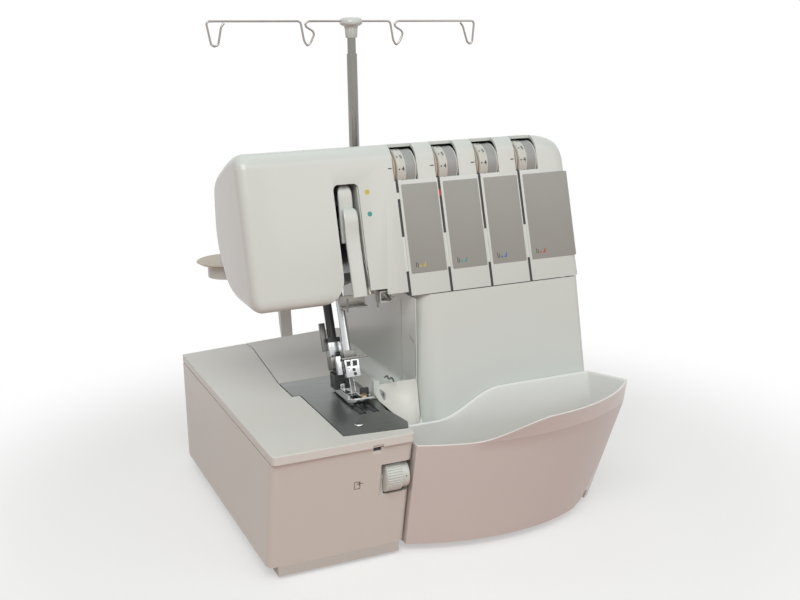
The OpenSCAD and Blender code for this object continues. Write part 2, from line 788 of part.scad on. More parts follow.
module motor_bracket() {
  color([0.55, 0.56, 0.58]) {
    block([motor_x + 4, motor_y - 14, floor_z + floor_t], [motor_x + 54, motor_y + 14,
        floor_z + floor_t + 3]);
    difference() {
      block([motor_x + 9, motor_y - 20, floor_z + floor_t], [motor_x + 49, motor_y + 20, main_z]);
      rod_x(motor_x + 8, motor_x + 50, motor_y, main_z, motor_r);
      block([motor_x + 8, motor_y - 14, floor_z + floor_t - 1],
            [motor_x + 50, motor_y + 14, main_z - motor_r + 1]);
    }
  }
}

module motor_pulley() {
  color([0.70, 0.71, 0.73]) {
    rod_x(frame_r - 6 + 1, pulley_x + pulley_w + 1, motor_y, main_z, 3);
    rod_x(pulley_x, pulley_x + pulley_w, motor_y, main_z, motor_pulley_r);
    for (x = [pulley_x - 1, pulley_x + pulley_w]) rod_x(x, x + 1, motor_y, main_z, motor_pulley_r + 2.5);
  }
}

module belt_loop(grow) {
  hull() {
    translate([main_y, main_z]) circle(r = pulley_r + grow, $fn = 64);
    translate([motor_y, main_z]) circle(r = motor_pulley_r + grow, $fn = 32);
  }
}

module drive_belt() {
  color([0.12, 0.12, 0.13])
    along_x(pulley_x + 0.5, pulley_x + pulley_w - 0.5) difference() {
      belt_loop(1.9);
      belt_loop(0.3);
    }
}

module rocker_shaft() {
  color([0.66, 0.67, 0.69]) {
    rod_x(slot_x - 5.5, frame_r + frame_t + 2, rocker_y, rocker_z, rocker_r);
    // lever with an open slot for the needle bar's stud
    translate([bar_x + 6.2, rocker_y, rocker_z]) rotate([-bar_lean, 0, 0]) difference() {
      union() {
        rod_x(0, 4, 0, 0, rocker_r + 4);
        block([0, -lever_l - 4, -5.7], [4, 0, 5.7]);
      }
      block([-1, -lever_l - 9, -stud_r - 1.4], [5, -lever_l + 4.5, stud_r + 1.4]);
    }
    // lever to the connecting rod
    rod_x(rod_x0 - 6, rod_x0 - 1, rocker_y, rocker_z, rocker_r + 4);
    block([rod_x0 - 6, rod_top_y - 4, rocker_z - 4], [rod_x0 - 1, rocker_y, rocker_z + 4]);
    rod_x(rod_x0 - 6, rod_x0 + 7, rod_top_y, rocker_z, rod_pin_r);
  }
}

stud_r = 2.2;

rod_pin_r = 2.5;

// The rod leans forward; its lower end stays above the eccentric's path
module connecting_rod() {
  color([0.60, 0.61, 0.63])
    translate([0, rod_top_y, rocker_z]) rotate([rod_lean, 0, 0]) difference() {
      union() {
        rod_x(rod_x0, rod_x0 + 6, 0, 0, rod_pin_r + 8.5);
        block([rod_x0, -4, rod_foot_z - rocker_z], [rod_x0 + 6, 4, -7]);
        rod_x(rod_x0, rod_x0 + 6, 0, rod_foot_z - rocker_z, 8);
      }
      rod_x(rod_x0 - 1, rod_x0 + 7, 0, 0, rod_pin_r + 5.5);
    }
}

module needle_bar() {
  color([0.78, 0.79, 0.80])
    on_needle_bar() {
      difference() {
        translate([0, 0, 33]) cylinder(r = needle_bar_r, h = 137);
        translate([0, 0, 60]) cylinder(r = 1.2, h = 111);
      }
      // collar with the stud that the lever drives
      translate([0, 0, collar_at - 4]) ring(needle_bar_r + 2.4, needle_bar_r, 8);
      translate([needle_bar_r + 1, 0, collar_at]) rotate([0, 90, 0]) cylinder(r = stud_r, h = 6.6);
    }
}

module needle_clamp() {
  color([0.74, 0.75, 0.74])
    on_needle_bar() difference() {
      union() {
        translate([-6, -5.2, 24]) cube([12.5, 9.4, 21]);
        translate([-7, -6.2, 45]) cube([14.5, 10.4, 2]);
        translate([-5, -4.6, 47]) cube([11, 9, 8]);
        translate([7, -5, 45]) cube([8, 1.4, 1.2]);
      }
      translate([0, 0, 33]) cylinder(r = needle_bar_r, h = 40);
      for (x = [-needle_pair / 2, needle_pair / 2]) translate([x, 0, 20]) cylinder(r = 1, h = 12);
      for (z = [28, 35]) translate([0.8, -3, z]) rotate([90, 0, 0]) cylinder(r = 1.3, h = 5);
    }
}

module needles() {
  color([0.80, 0.81, 0.82])
    on_needle_bar() for (x = [-needle_pair / 2, needle_pair / 2]) translate([x, 0, x < 0 ? 0 : 1.5]) {
      cylinder(r1 = 0.15, r2 = 0.6, h = 5, $fn = 24);
      translate([0, 0, 5]) cylinder(r = 0.6, h = 16);
      translate([0, 0, 20]) cylinder(r = 1, h = 9.5);
    }
}

module take_up_lever(x0, x1, z0, z1, back) {
  // curved plate behind the slot, leaning like the head's front
  along_x(x0, x1) polygon([[head_y(z0) + back, z0], [head_y(z1 - 6) + back, z1 - 6], [head_y(z1)
      + back + 3, z1],
    [head_y(z1) + back + 6, z1 - 1], [head_y(z1 - 8) + back + 3, z1 - 8], [head_y(z0) + back + 3, z0]]);
}

link_y = head_y(rocker_z) + 10;
link_top = rocker_z + 5;
link_x = slot_x - 4.2;

module take_up_front() {
  color([0.84, 0.84, 0.82]) {
    take_up_lever(slot_x + 3, slot_x + 16.4, seam_z + 4, seam_z + 69.5, 2);
    block([slot_x + 3, link_y - 6.5, rocker_z - 3], [slot_x + 5, link_y + 4, link_top]);
    block([link_x, link_y, rocker_z - 3], [slot_x + 4, link_y + 4, link_top]);
    difference() {
      union() {
        rod_x(link_x, link_x + 3.6, rocker_y, rocker_z, rocker_r + 3.5);
        block([link_x, link_y, rocker_z - 3], [link_x + 3.6, rocker_y, rocker_z + 4]);
      }
      rod_x(link_x - 1, link_x + 4, rocker_y, rocker_z, rocker_r + fit);
    }
  }
}

module take_up_back() {
  color([0.84, 0.84, 0.82]) {
    take_up_lever(slot_x + 4.5, slot_x + 15.8, link_top + 0.4, seam_z + 86, 8.4);
    block([slot_x + 0.4, link_y - 1, link_top], [slot_x + 5.5, link_y + 4, link_top + 6]);
  }
}

// ---------------------------------------------------------------- presser foot

module presser_bar() {
  color([0.13, 0.13, 0.14])
    on_presser_bar() translate([0, 0, 21]) cylinder(r = presser_bar_r, h = 147);
  // shank with the holder of the foot
  color([0.60, 0.61, 0.60]) {
    on_presser_bar() {
      translate([-5, -4.8, 25]) cube([10, 10.5, 26]);
      translate([0, 0, spring_low - 4]) cylinder(r = presser_bar_r + 2.6, h = 4);
    }
    difference() {
      block([presser_x - 5, foot_pin_y - 5, foot_pin_z - 2.6], [presser_x + 8, foot_pin_y + 6,
          foot_pin_z + 10]);
      block([presser_x - 1, foot_pin_y - 6, foot_pin_z - 4], [presser_x + 4, foot_pin_y + 7,
          foot_pin_z + 3.6]);
      rod_x(presser_x - 6, presser_x + 9, foot_pin_y, foot_pin_z, foot_pin_r + fit);
    }
  }
}

foot_pin_y = 104;
foot_pin_z = plate_z + foot_gap + 7.5;
foot_pin_r = 1.4;
spring_low = bush_low + bush_t + 12;

module presser_foot() {
  sole_z = bed_h + foot_gap;
  color([0.72, 0.73, 0.74]) {
    difference() {
      union() {
        along_x(needle_x - 7.7, needle_x + 14.3) polygon([[72, sole_z + 3.4], [76, sole_z], [118,
            sole_z], [121, sole_z + 2],
          [121, sole_z + 3], [117, sole_z + 2.2], [77, sole_z + 2.2], [72.6, sole_z + 5]]);
        block([needle_x - 4.2, 88, sole_z + 1], [needle_x + 5.8, 116, sole_z + 3.6]);
        block([presser_x - 0.8, foot_pin_y - 4, sole_z + 1], [presser_x + 3.8, foot_pin_y + 4,
            foot_pin_z + 2.4]);
      }
      block([needle_x - 4, needle_y - 9, sole_z - 1], [needle_x + 4.2, needle_y + 7, sole_z + 8]);
      block([needle_x + 12.4, 70, sole_z - 1], [needle_x + 14.8, 84, sole_z + 6]);
    }
    rod_x(presser_x - 4.6, presser_x + 7.6, foot_pin_y, foot_pin_z, foot_pin_r);
  }
}

module presser_spring() {
  color([0.66, 0.67, 0.68])
    on_presser_bar() translate([0, 0, spring_low + 0.3])
      for (i = [0 : 5]) translate([0, 0, i * 5]) ring(presser_bar_r + 2.4, presser_bar_r + 0.8, 4.9);
}

module presser_lifter() {
  color([0.82, 0.82, 0.80])
    difference() {
      union() {
        rod_x(lifter_x, lifter_x + 11, lifter_y, lifter_z, lifter_pin_r + 3);
        along_x(lifter_x + 1, lifter_x + 10) polygon([[lifter_y - 4, lifter_z], [lifter_y + 4, lifter_z],
          [lifter_y - 2, lifter_z - 41], [lifter_y - 6, lifter_z - 54], [lifter_y - 9, lifter_z - 53],
          [lifter_y - 7, lifter_z - 33]]);
      }
      rod_x(lifter_x - 1, lifter_x + 12, lifter_y, lifter_z, lifter_pin_r + fit);
    }
}

// ---------------------------------------------------------------- tower

module tower_shell() {
  color([0.83, 0.83, 0.80])
    difference() {
      union() {
        // left side, back and the shelf behind the head
        block([tower_x, tower_front, box_top - 6], [tower_x + wall, tower_back, seam_z - seam]);
        block([tower_x, tower_back - wall, box_top], [body_w - wall - 0.3, tower_back, seam_z]);
        block([tower_x, shelf_y, seam_z - wall], [body_w - wall - 0.3, tower_back, seam_z]);
        cover_header(tower_x, tower_x + cover_r + 1);
        // cove between deck and side
        difference() {
          block([tower_x - cove, tower_front + 1, bed_h], [tower_x + 1, tower_back, bed_h + cove]);
          rod_y(tower_front, tower_back + 1, tower_x - cove, bed_h + cove, cove);
        }
      }
      for (z = [bed_h + 41 : 8 : bed_h + 57])
        block([tower_x + 40, tower_back - wall - 1, z], [body_w - 40, tower_back + 1, z + 3]);
      block([rod_x0 - 3, shelf_y - 1, seam_z - wall - 1], [rod_x0 + 9, shelf_y + 5, seam_z + 1]);
    }
}

// Fixed corner above the looper cover's swinging top edge
module cover_header(x0, x1) {
  difference() {
    intersection() {
      cover_form(0);
      block([x0, 0, hinge_z], [x1, tower_front, seam_z]);
    }
    cover_form(wall);
    rod_x(x0 - 1, x1 + 1, hinge_y, hinge_z, cover_top_r + seam);
  }
}

tower_front = cover_back + 1;
shelf_y = 118;
cove = 12;

module side_cover() {
  color([0.83, 0.83, 0.80]) {
    cover_header(body_w - wall, body_w);
    difference() {
      along_x(body_w - wall, body_w) polygon([[right_front, box_bottom], [rear_d, box_bottom], [rear_d,
          bed_h],
        [tower_back + 0.4, bed_h], [tower_back + 0.4, seam_z], [tower_front, seam_z - seam],
        [tower_front, hinge_z - 38], [right_front, hinge_z - 42]]);
      rod_x(body_w - 5, body_w + 1, main_y, main_z, shaft_r + 3);
      for (p = side_dials) rod_x(body_w - 5, body_w + 1, p[0], p[1], side_pin_r + fit);
      block([body_w - 5, inlet_y - 13, inlet_z - 10], [body_w + 1, inlet_y + 13, inlet_z + 10]);
      block([body_w - 5, inlet_y - 11, switch_z - 7.5], [body_w + 1, inlet_y + 11, switch_z + 7.5]);
    }
  }
}

side_dials = [[125, bed_h + 49], [172, bed_h + 49]];
side_pin_r = 4;
inlet_y = rear_d - 40;
inlet_z = 40;
switch_z = 72;

module side_knob(p) {
  difference() {
    union() {
      rod_x(body_w + 0.4, body_w + 4, p[0], p[1], 17);
      rod_x(body_w + 4, body_w + 13, p[0], p[1], 14);
      rod_x(body_w - 12, body_w + 0.4, p[0], p[1], side_pin_r);
    }
    for (a = [0 : 20 : 340])
      rod_x(body_w + 4.5, body_w + 14, p[0] + 15 * cos(a), p[1] + 15 * sin(a), 1.6);
  }
}

module stitch_length_dial() {
  color([0.80, 0.80, 0.78]) side_knob(side_dials[0]);
}

module differential_dial() {
  color([0.80, 0.80, 0.78]) side_knob(side_dials[1]);
}

module power_inlet() {
  color([0.10, 0.10, 0.11]) {
    difference() {
      union() {
        block([body_w - 22, inlet_y - 12.6, inlet_z - 9.6], [body_w, inlet_y + 12.6, inlet_z + 9.6]);
        block([body_w, inlet_y - 15, inlet_z - 12], [body_w + 2, inlet_y + 15, inlet_z + 12]);
      }
      block([body_w - 16, inlet_y - 9, inlet_z - 6], [body_w + 3, inlet_y + 9, inlet_z + 6]);
    }
    for (y = [-5, 0, 5]) rod_x(body_w - 17, body_w - 4, inlet_y + y, inlet_z, 1.2);
  }
}

module power_switch() {
  color([0.12, 0.12, 0.13]) {
    rod_y(inlet_y - 10.4, inlet_y + 10.4, body_w - 3, switch_z, 1.4);
    along_y(inlet_y - 9.5, inlet_y + 9.5) polygon([[body_w + 2.5, switch_z + 6], [body_w + 0.5, switch_z],
      [body_w + 2.5, switch_z - 6], [body_w - 6, switch_z - 5], [body_w - 9, switch_z], [body_w - 6,
          switch_z + 5]]);
  }
}

board_x = frame_r - 66;
board_y = rear_d - 40;
module circuit_board() {
  color([0.12, 0.36, 0.22]) {
    block([board_x, board_y, 26], [board_x + 66, board_y + 1.6, bed_h - 17]);
    for (x = [board_x + 8, board_x + 26, board_x + 48]) block([x, board_y + 1.6, 40], [x + 9,
        board_y + 11.6, 58]);
    for (x = [board_x + 4, board_x + 60], z = [28, bed_h - 23]) rod_y(board_y + 1.6, rear_d - wall, x, z,
        2.5);
  }
}

// ---------------------------------------------------------------- looper cover

function s_rim(t) = tray_low + (tray_high - tray_low) * (3 * t * t - 2 * t * t * t);
s_x0 = tower_x + 6;
s_x1 = tower_x + 64;
s_points = [for (t = [0 : 0.1 : 1]) [s_x0 + (s_x1 - s_x0) * t, s_rim(t)]];

// Everything above the S-shaped edge, moved up by d
module above_s(d) {
  along_y(-80, 200) polygon(concat([[60, tray_low + d]], [for (p = s_points) [p[0], p[1] + d]],
    [[400, tray_high + d], [400, 400], [60, 400]]));
}

module cover_form(inset) {
  // leaning prism with a large round left edge and a small one at the right
  translate([0, column_y(0), 0]) rotate([-cover_lean, 0, 0]) translate([0, 0, -20])
    linear_extrude(seam_z + 60) {
      x0 = tower_x + inset;
      x1 = body_w - inset;
      y0 = inset;
      r0 = cover_r - inset;
      r1 = 6 - inset;
      translate([x0 + r0, y0]) square([x1 - x0 - r0 - r1, 100]);
      translate([x0, y0 + r0]) square([x1 - x0, 100 - r0]);
      translate([x1 - 40, y0 + r1]) square([40, 60]);
      translate([x0 + r0, y0 + r0]) circle(r0, $fn = 96);
      translate([x1 - r1, y0 + r1]) circle(r1);
    }
}

module looper_cover() {
  color([0.83, 0.84, 0.82]) {
    difference() {
      intersection() {
        cover_form(0);
        block([tower_x - 1, 0, 60], [body_w + 1, cover_back, seam_z - seam]);
        rod_x(100, 400, hinge_y, hinge_z, cover_top_r);
        above_s(-3.6);
        union() {
          block([100, 0, hinge_z], [400, 200, 400]);
          rod_x(100, 400, hinge_y, hinge_z, cover_back - hinge_y + 0.3);
        }
      }
      cover_form(wall);
    }
    for (x = [tower_x + 26, body_w - 18]) cover_ear(x);
    // chute that leads the trimmings to the tray
    along_x(chute_x, tower_x + 1.5) polygon(chute_profile);
    // arm over the knife with its grip
    block([bed_w + 0.6, 82.6, bed_h + 3.2], [tower_x + 2, 88.4, bed_h + 10]);
    along_x(chute_x, tower_x + 1.5) polygon([[82.6, bed_h - 3],
      [85.4, bed_h - 3], [88.4, bed_h + 3.2], [82.6, bed_h + 4]]);
    block([bed_w + 0.6, 82.2, bed_h + 5], [bed_w + 5.5, 88.4, bed_h + 15]);
  }
}

chute_x = tower_x - 16.8;
chute_profile = [[86.6, bed_h + 3], [82.6, bed_h + 3], [74, bed_h - 1], [62, bed_h - 9], [52, bed_h - 18],
  [hinge_y - 9, bed_h - 26], [hinge_y - 6.5, bed_h - 26.5], [54, bed_h - 20.2], [64, bed_h - 11.4],
  [75, bed_h - 3.8], [86.6, bed_h]];

module cover_ear(x) {
  difference() {
    union() {
      rod_x(x, x + 6, hinge_y, hinge_z, 5);
      block([x, hinge_y - 5.2, hinge_z - 3], [x + 6, hinge_y, hinge_z + 4]);
    }
    rod_x(x - 1, x + 7, hinge_y, hinge_z, hinge_r + fit);
  }
}

module cover_rod() {
  color([0.72, 0.73, 0.74]) rod_x(tower_x + 20, body_w - 8, hinge_y, hinge_z, hinge_r);
}

// ---------------------------------------------------------------- waste tray

function bezier(p, t) = pow(1 - t, 3) * p[0] + 3 * pow(1 - t, 2) * t * p[1]
  + 3 * (1 - t) * t * t * p[2] + t * t * t * p[3];
tray_x = bed_w + 0.9;
tray_floor = 7;
tray_steps = 18;

// One level of the tray: the front curve from left to right, then the straight back
function tray_ring(z, p, back_y, back_x, d) = concat(
  [for (i = [0 : tray_steps])
    let (q = bezier([[p[0][0] + d, p[0][1] + d], [p[1][0], p[1][1] + d], [p[2][0], p[2][1] + d],
      [p[3][0] - d, p[3][1] + d]], i / tray_steps)) [q[0], q[1], z]],
  [[back_x - d, back_y - d, z], [tray_x + d, back_y - d, z]]);

tray_bottom_curve = [[tray_x, 25], [bed_w + 54, 0], [body_w - 65, -1], [body_w - 18, 27]];
tray_mid_curve = [[tray_x, 1], [bed_w + 54, -24], [body_w - 45, -27], [body_w + 13, 15]];
tray_top_curve = [[tray_x, -14], [bed_w + 69, 11 - tray_reach * 1.7],
  [body_w - 28, 13 - tray_reach * 1.6], [body_w + 16.5, 13]];
tray_mid_z = tray_low + 2;
tray_top_z = tray_high + 1;

module tray_form(d, bottom) {
  loft([
    tray_ring(bottom, tray_bottom_curve, right_front - 12, body_w - 20, d),
    tray_ring(tray_mid_z, tray_mid_curve, column_y(tray_mid_z) - 0.6, body_w + 0.2, d),
    tray_ring(tray_top_z + (d > 0 ? 1 : 0), tray_top_curve, column_y(tray_top_z) - 0.6, body_w + 0.2, d)]);
}

module waste_tray() {
  color([0.83, 0.83, 0.80])
    difference() {
      tray_form(0, tray_floor);
      tray_form(wall, tray_floor + wall);
      above_s(0);
      // hook notch at the lower right
      rod_y(-20, 60, body_w - 28, 13, 3);
      translate([body_w - 28, -20, 13]) rotate([0, 150, 0]) translate([-2, 0, 0]) cube([4, 80, 14]);
    }
  // keys that seat the tray on the base
  color([0.83, 0.83, 0.80]) for (x = [tower_x, body_w - 40])
    block([x, right_front - 13, 50], [x + 8, right_front - 0.4, 62]);
}

// ---------------------------------------------------------------- head

// Side view of the head, anticlockwise from the front's foot: belly, back, sloping top, leaning front
head_points = [[head_y(head_bottom - 9.4), head_bottom - 9.4], [138, head_top - 111],
  [153, head_top - 98], [165, head_top - 84], [170.4, head_top - 67], [170.4, head_top - 44],
  [168.8, head_top - 32], [160, head_top - 23.2], [148, head_top - 17.6], [128, head_top - 8.4],
  [112, head_top - 3.2], [102, head_top - 1.2], [head_y(head_top - 7.5), head_top - 7.5]];

function inward(a, b) = [a[1] - b[1], b[0] - a[0]] / norm(b - a);

// How far the top falls away towards the right end
end_fall = 13;
end_run = 33;
function top_fall(x) = let (t = max(0, (x - body_w + end_run) / end_run)) end_fall * (1 - sqrt(max(0,
    1 - t * t)));
function top_share(z) = min(1, max(0, (z - head_top + 45) / 38));

// The side view at one x, drawn in by d all round
function head_ring(x, d) = let (n = len(head_points)) [for (i = [0 : n - 1])
  let (p = head_points[i],
       u = inward(head_points[(i + n - 1) % n], p),
       v = inward(p, head_points[(i + 1) % n]),
       m = (u + v) / (1 + u * v),
       q = p + m * d)
  [x, q[0], q[1] - top_fall(x) * top_share(q[1])]];

// Steps of a rounded end: [distance from the end, draw-in], for a radius r
function round_steps(r) = [for (a = [90 : -22.5 : 0]) [r * (1 - sin(a)), r * (1 - cos(a))]];

module head_form(inset) {
  left = round_steps(head_r - inset);
  right = round_steps(head_r * 0.7 - inset);
  n = len(right);
  loft(concat(
    [for (s = left) head_ring(head_x + inset + s[0], inset + s[1])],
    [for (x = [body_w - end_run : 5.5 : body_w - end_run + 22]) head_ring(x, inset)],
    [for (k = [n - 1 : -1 : 0]) head_ring(body_w - inset - right[k][0], inset + right[k][1])]));
}

module head_shell() {
  color([0.84, 0.84, 0.81])
    difference() {
      intersection() {
        head_form(0);
        block([0, 0, head_bottom], [body_w, 300, head_top + 5]);
      }
      intersection() {
        head_form(wall);
        block([0, 0, head_bottom + wall], [body_w, 300, head_top + 5]);
      }
      // open to the tower, with the front edge on the seam
      block([tower_x - 4, 0, head_bottom - 5], [body_w + 5, 300, seam_z]);
      block([tower_x + wall, 78, head_bottom - 5], [body_w - wall, shelf_y, seam_z + wall + 1]);
      block([rod_x0 - 3, shelf_y - 1, seam_z - 1], [rod_x0 + 9, shelf_y + 5, seam_z + wall + 1]);
      // opening over the needle
      block([slot_x - 10, 0, head_bottom - 5], [slot_x + slot_w, 150, head_bottom + 12]);
      block([slot_x + slot_w - 1, 78, head_bottom - 5], [tower_x - 6, 150, head_bottom + wall + 4.5]);
      // slot of the take-up covers
      along_y(0, 130) round_rect(slot_x, head_bottom - 20, slot_x + slot_w, bed_h + 174, 4);
      // tension slots and the dial windows
      for (i = [0 : 3]) {
        x = tension_x + i * tension_pitch;
        block([x - tension_slot / 2, 0, seam_z - 5], [x + tension_slot / 2, 100, head_top + 5]);
        block([x + tension_slot / 2 - eps, 0, dial_z - 8], [x + tension_slot / 2 + dial_w + 1.4,
            dial_y + 1, head_top + 5]);
      }
      // slot of the lifter
      block([lifter_x - 1.5, 112, head_bottom - 5], [lifter_x + 12.5, 180, lifter_z + 16]);
    }
}

plate_rise = 0.7;
module tension_plates() {
  color([0.64, 0.64, 0.61])
    for (i = [0 : 3]) {
      x = tension_x + i * tension_pitch;
      right = i == 3 ? body_w - 0.5 : x + tension_pitch - tension_slot / 2 - 0.3;
      translate([0, head_y(0), 0]) rotate([-head_lean, 0, 0])
        block([x + 5.4, -plate_rise, plate_from / cos(head_lean)], [right, 0, plate_to / cos(head_lean)]);
    }
}

plate_from = seam_z + 16.4;
plate_to = head_top - 29.6;

module tension_units() {
  for (i = [0 : 3]) {
    x = tension_x + i * tension_pitch;
    color([0.76, 0.71, 0.60]) for (dx = [-1.6, 0.8])
      difference() {
        rod_x(x + dx, x + dx + 0.8, dial_y, dial_z, dial_r - 5);
        rod_x(x + dx - 1, x + dx + 2, dial_y, dial_z, axle_r + fit);
      }
    color([0.70, 0.71, 0.72]) {
      rod_x(x - 6, x + dial_w + 5, dial_y, dial_z, axle_r);
      block([x - 6, dial_y - 3, dial_z - 4], [x - 4, tension_rail, dial_z + 4]);
    }
  }
  color([0.60, 0.61, 0.62])
    block([frame_m, tension_rail, beam_z], [frame_r, tension_rail + 2, dial_z + 4]);
  color([0.60, 0.61, 0.62])
    block([tension_x - 6, tension_rail, dial_z - 4], [frame_m, tension_rail + 2, dial_z + 4]);
}

axle_r = 2;
tension_rail = 124;

module tension_dial(i) {
  x = tension_x + i * tension_pitch + tension_slot / 2 + 1.2;
  color([0.83, 0.83, 0.80])
    difference() {
      union() {
        rod_x(x, x + dial_w * 0.6, dial_y, dial_z, dial_r);
        rod_x(x + dial_w * 0.6, x + dial_w - 1.2, dial_y, dial_z, dial_r - 0.6);
      }
      rod_x(x - 1, x + dial_w + 1, dial_y, dial_z, axle_r + fit);
    }
}

module tension_dial_1() {
  tension_dial(0);
}

module tension_dial_2() {
  tension_dial(1);
}

module tension_dial_3() {
  tension_dial(2);
}

module tension_dial_4() {
  tension_dial(3);
}

module cutting_width_dial() {
  color([0.82, 0.82, 0.80])
    difference() {
      union() {
        rod_x(width_dial_x - 5, width_dial_x + 8, width_dial_y, width_dial_z, width_dial_r);
        rod_x(width_dial_x + 8, width_dial_x + 14, width_dial_y, width_dial_z, width_dial_r - 1.5);
      }
      rod_x(width_dial_x - 6, width_dial_x + 15, width_dial_y, width_dial_z, width_axle_r);
      for (a = [0 : 10 : 350])
        rod_x(width_dial_x - 6, width_dial_x + 8.1, width_dial_y + (width_dial_r + 0.4) * cos(a),
          width_dial_z + (width_dial_r + 0.4) * sin(a), 0.9);
    }
}

guide_x = slot_x + slot_w + 0.9;
module thread_guides() {
  color([0.70, 0.71, 0.70]) {
    // plate under the head's right side, with two open eyes
    difference() {
      block([guide_x, 68, head_bottom - 2.4], [guide_x + 20.5, 77, head_bottom]);
      for (x = [guide_x + 4.5, guide_x + 12.5]) rod_z(head_bottom - 3, head_bottom + 1, x, 73, 1.4);
    }
    for (x = [guide_x + 1.5, guide_x + 16.5]) rod_z(head_bottom - 16, head_bottom - 2.3, x, 70.5, 0.9);
  }
}

module lamp() {
  color([0.92, 0.92, 0.86]) {
    block([arm_x + 5, 92, head_bottom - 1], [arm_x + 23, 112, head_bottom + 3.6]);
    block([arm_x + 11, 108, head_bottom + 1], [arm_x + 17, 122, arm_z]);
  }
}

// ---------------------------------------------------------------- thread stand

spool_mid = mast_x - 2.8;
spool_x0 = spool_mid - 1.5 * spool_pitch;

module spool_bar() {
  color([0.83, 0.83, 0.80])
    difference() {
      union() {
        translate([0, 0, stand_z - bar_t]) linear_extrude(bar_t) {
          translate([spool_x0, tower_back]) square([3 * spool_pitch, 2 * bar_half]);
          for (x = [spool_x0, spool_x0 + 3 * spool_pitch]) translate([x, mast_y]) circle(bar_half);
        }
        rod_z(stand_z - 20, stand_z + 4, mast_x, mast_y, base_tube_r + 4);
      }
      rod_z(stand_z - 21, stand_z + 5, mast_x, mast_y, base_tube_r);
    }
}

module spool_discs() {
  color([0.83, 0.80, 0.70])
    for (i = [0 : 3]) translate([spool_x0 + i * spool_pitch, mast_y, stand_z])
      rotate_extrude() polygon([[spool_neck_r, 0], [disc_r - 3, 0], [disc_r, disc_t * 0.7],
        [disc_r - 1, disc_t], [spool_neck_r, disc_t]]);
}

spool_pin_r = 3.5;
spool_neck_r = 2.5;

module spool_pins() {
  color([0.84, 0.84, 0.82])
    for (i = [0 : 3]) translate([spool_x0 + i * spool_pitch, mast_y, stand_z]) {
      cylinder(r = spool_neck_r, h = disc_t);
      translate([0, 0, disc_t]) cylinder(r = spool_pin_r, h = spool_h - 6);
      translate([0, 0, spool_h + disc_t - 6]) cylinder(r1 = spool_pin_r, r2 = 1.8, h = 6);
    }
}

mast_joint = tree_z - 28;
base_tube_h = (mast_joint - bed_h) * 0.64;
mid_tube_h = (mast_joint - bed_h) * 0.634;
base_tube_r = mast_r + fit + tube_wall;
top_tube_r = mast_r - tube_wall - fit;

module mast_base() {
  color([0.60, 0.60, 0.59])
    translate([mast_x, mast_y, bed_h]) ring(base_tube_r, mast_r + fit, base_tube_h);
}

module mast_upper() {
  color([0.66, 0.66, 0.65])
    translate([mast_x, mast_y, mast_joint - mid_tube_h]) ring(mast_r, mast_r - tube_wall, mid_tube_h);
}

wire_r = 0.9;
hook_drop = 21;
hook_w = 8;

// Wire hook that hangs from the bar: down, across and back up
module wire_hook(x, dir) {
  for (p = [[0, 0, hook_drop], [dir * hook_w, hook_drop - 15, 15]])
    rod_z(tree_z - hook_drop, tree_z - hook_drop + p[2], x + p[0], mast_y, wire_r);
  rod_x(min(x, x + dir * hook_w), max(x, x + dir * hook_w), mast_y, tree_z - hook_drop, wire_r);
  for (dx = [0, dir * hook_w]) translate([x + dx, mast_y, tree_z - hook_drop]) sphere(wire_r, $fn = 24);
}

module thread_tree() {
  color([0.62, 0.63, 0.64]) {
    rod_x(mast_x - tree_w / 2, mast_x + tree_w / 2, mast_y, tree_z, wire_r);
    for (i = [0 : 3])
      wire_hook(mast_x + (i - 1.5) * (tree_w - hook_w) / 3 + (i < 2 ? -hook_w / 2 : hook_w / 2),
          i < 2 ? 1 : -1);
  }
  color([0.74, 0.74, 0.73]) rod_z(mast_joint - 70, tree_z - 6.5, mast_x, mast_y, top_tube_r);
  color([0.86, 0.86, 0.84]) {
    rod_z(tree_z - 14, tree_z - 6, mast_x, mast_y, 7);
    translate([mast_x, mast_y, tree_z - 6]) cylinder(r1 = 8, r2 = 11, h = 5);
    rod_z(tree_z - 1, tree_z + 3.4, mast_x, mast_y, 11.5);
  }
}

// ---------------------------------------------------------------- fasteners

module screw(r, head, l) {
  difference() {
    union() {
      translate([0, 0, -l]) cylinder(r = r, h = l);
      cylinder(r1 = head, r2 = head * 0.8, h = 1.2);
    }
    translate([-head, -0.4, 0.6]) cube([2 * head, 0.8, 2]);
  }
}

module screws() {
  color([0.58, 0.59, 0.60]) {
    for (p = plate_screw_places) translate([p[0], p[1], plate_z]) screw(plate_screw_r, 3.4, 6);
    for (p = frame_screws) translate([p[0], p[1], floor_z + floor_t]) screw(frame_screw_r, 5, 9);
  }
}

place() base_pan();
place() rubber_feet();
place() machine_frame();
place() bed_shell();
place() bed_deck();
place() stitch_plate();
place() screws();
place() lower_knife();
place() tower_shell();
place() side_cover();
place() head_shell();
place() tension_plates();
place() tension_units();
place() thread_guides();
place() bushes();
place() presser_spring();
place() motor();
place() motor_bracket();
place() drive_belt();
place() circuit_board();
place() power_inlet();
place() lamp();
place() spool_bar();
place() spool_pins();
place() spool_discs();
place() mast_base();
place() main_shaft();
place() drive_pulley();
place() handwheel();
place() motor_pulley();
place() rocker_shaft();
place() connecting_rod();
place() needle_bar();
place() needle_clamp();
place() needles();
place() take_up_front();
place() take_up_back();
place() upper_looper();
place() lower_looper();
place() upper_knife();
place() feed_dog_main();
place() feed_dog_diff();
place() presser_bar();
place() presser_foot();
place() presser_lifter();
place() tension_dial_1();
place() tension_dial_2();
place() tension_dial_3();
place() tension_dial_4();
place() cutting_width_dial();
place() stitch_length_dial();
place() differential_dial();
place() looper_cover();
place() cover_rod();
place() cloth_plate();
place() waste_tray();
place() mast_upper();
place() thread_tree();
place() power_switch();
place() lid_release();
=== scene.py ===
import json
from math import copysign, cos, pi, radians, sin, sqrt, tan
import bpy
import bmesh
from mathutils import Matrix, Vector


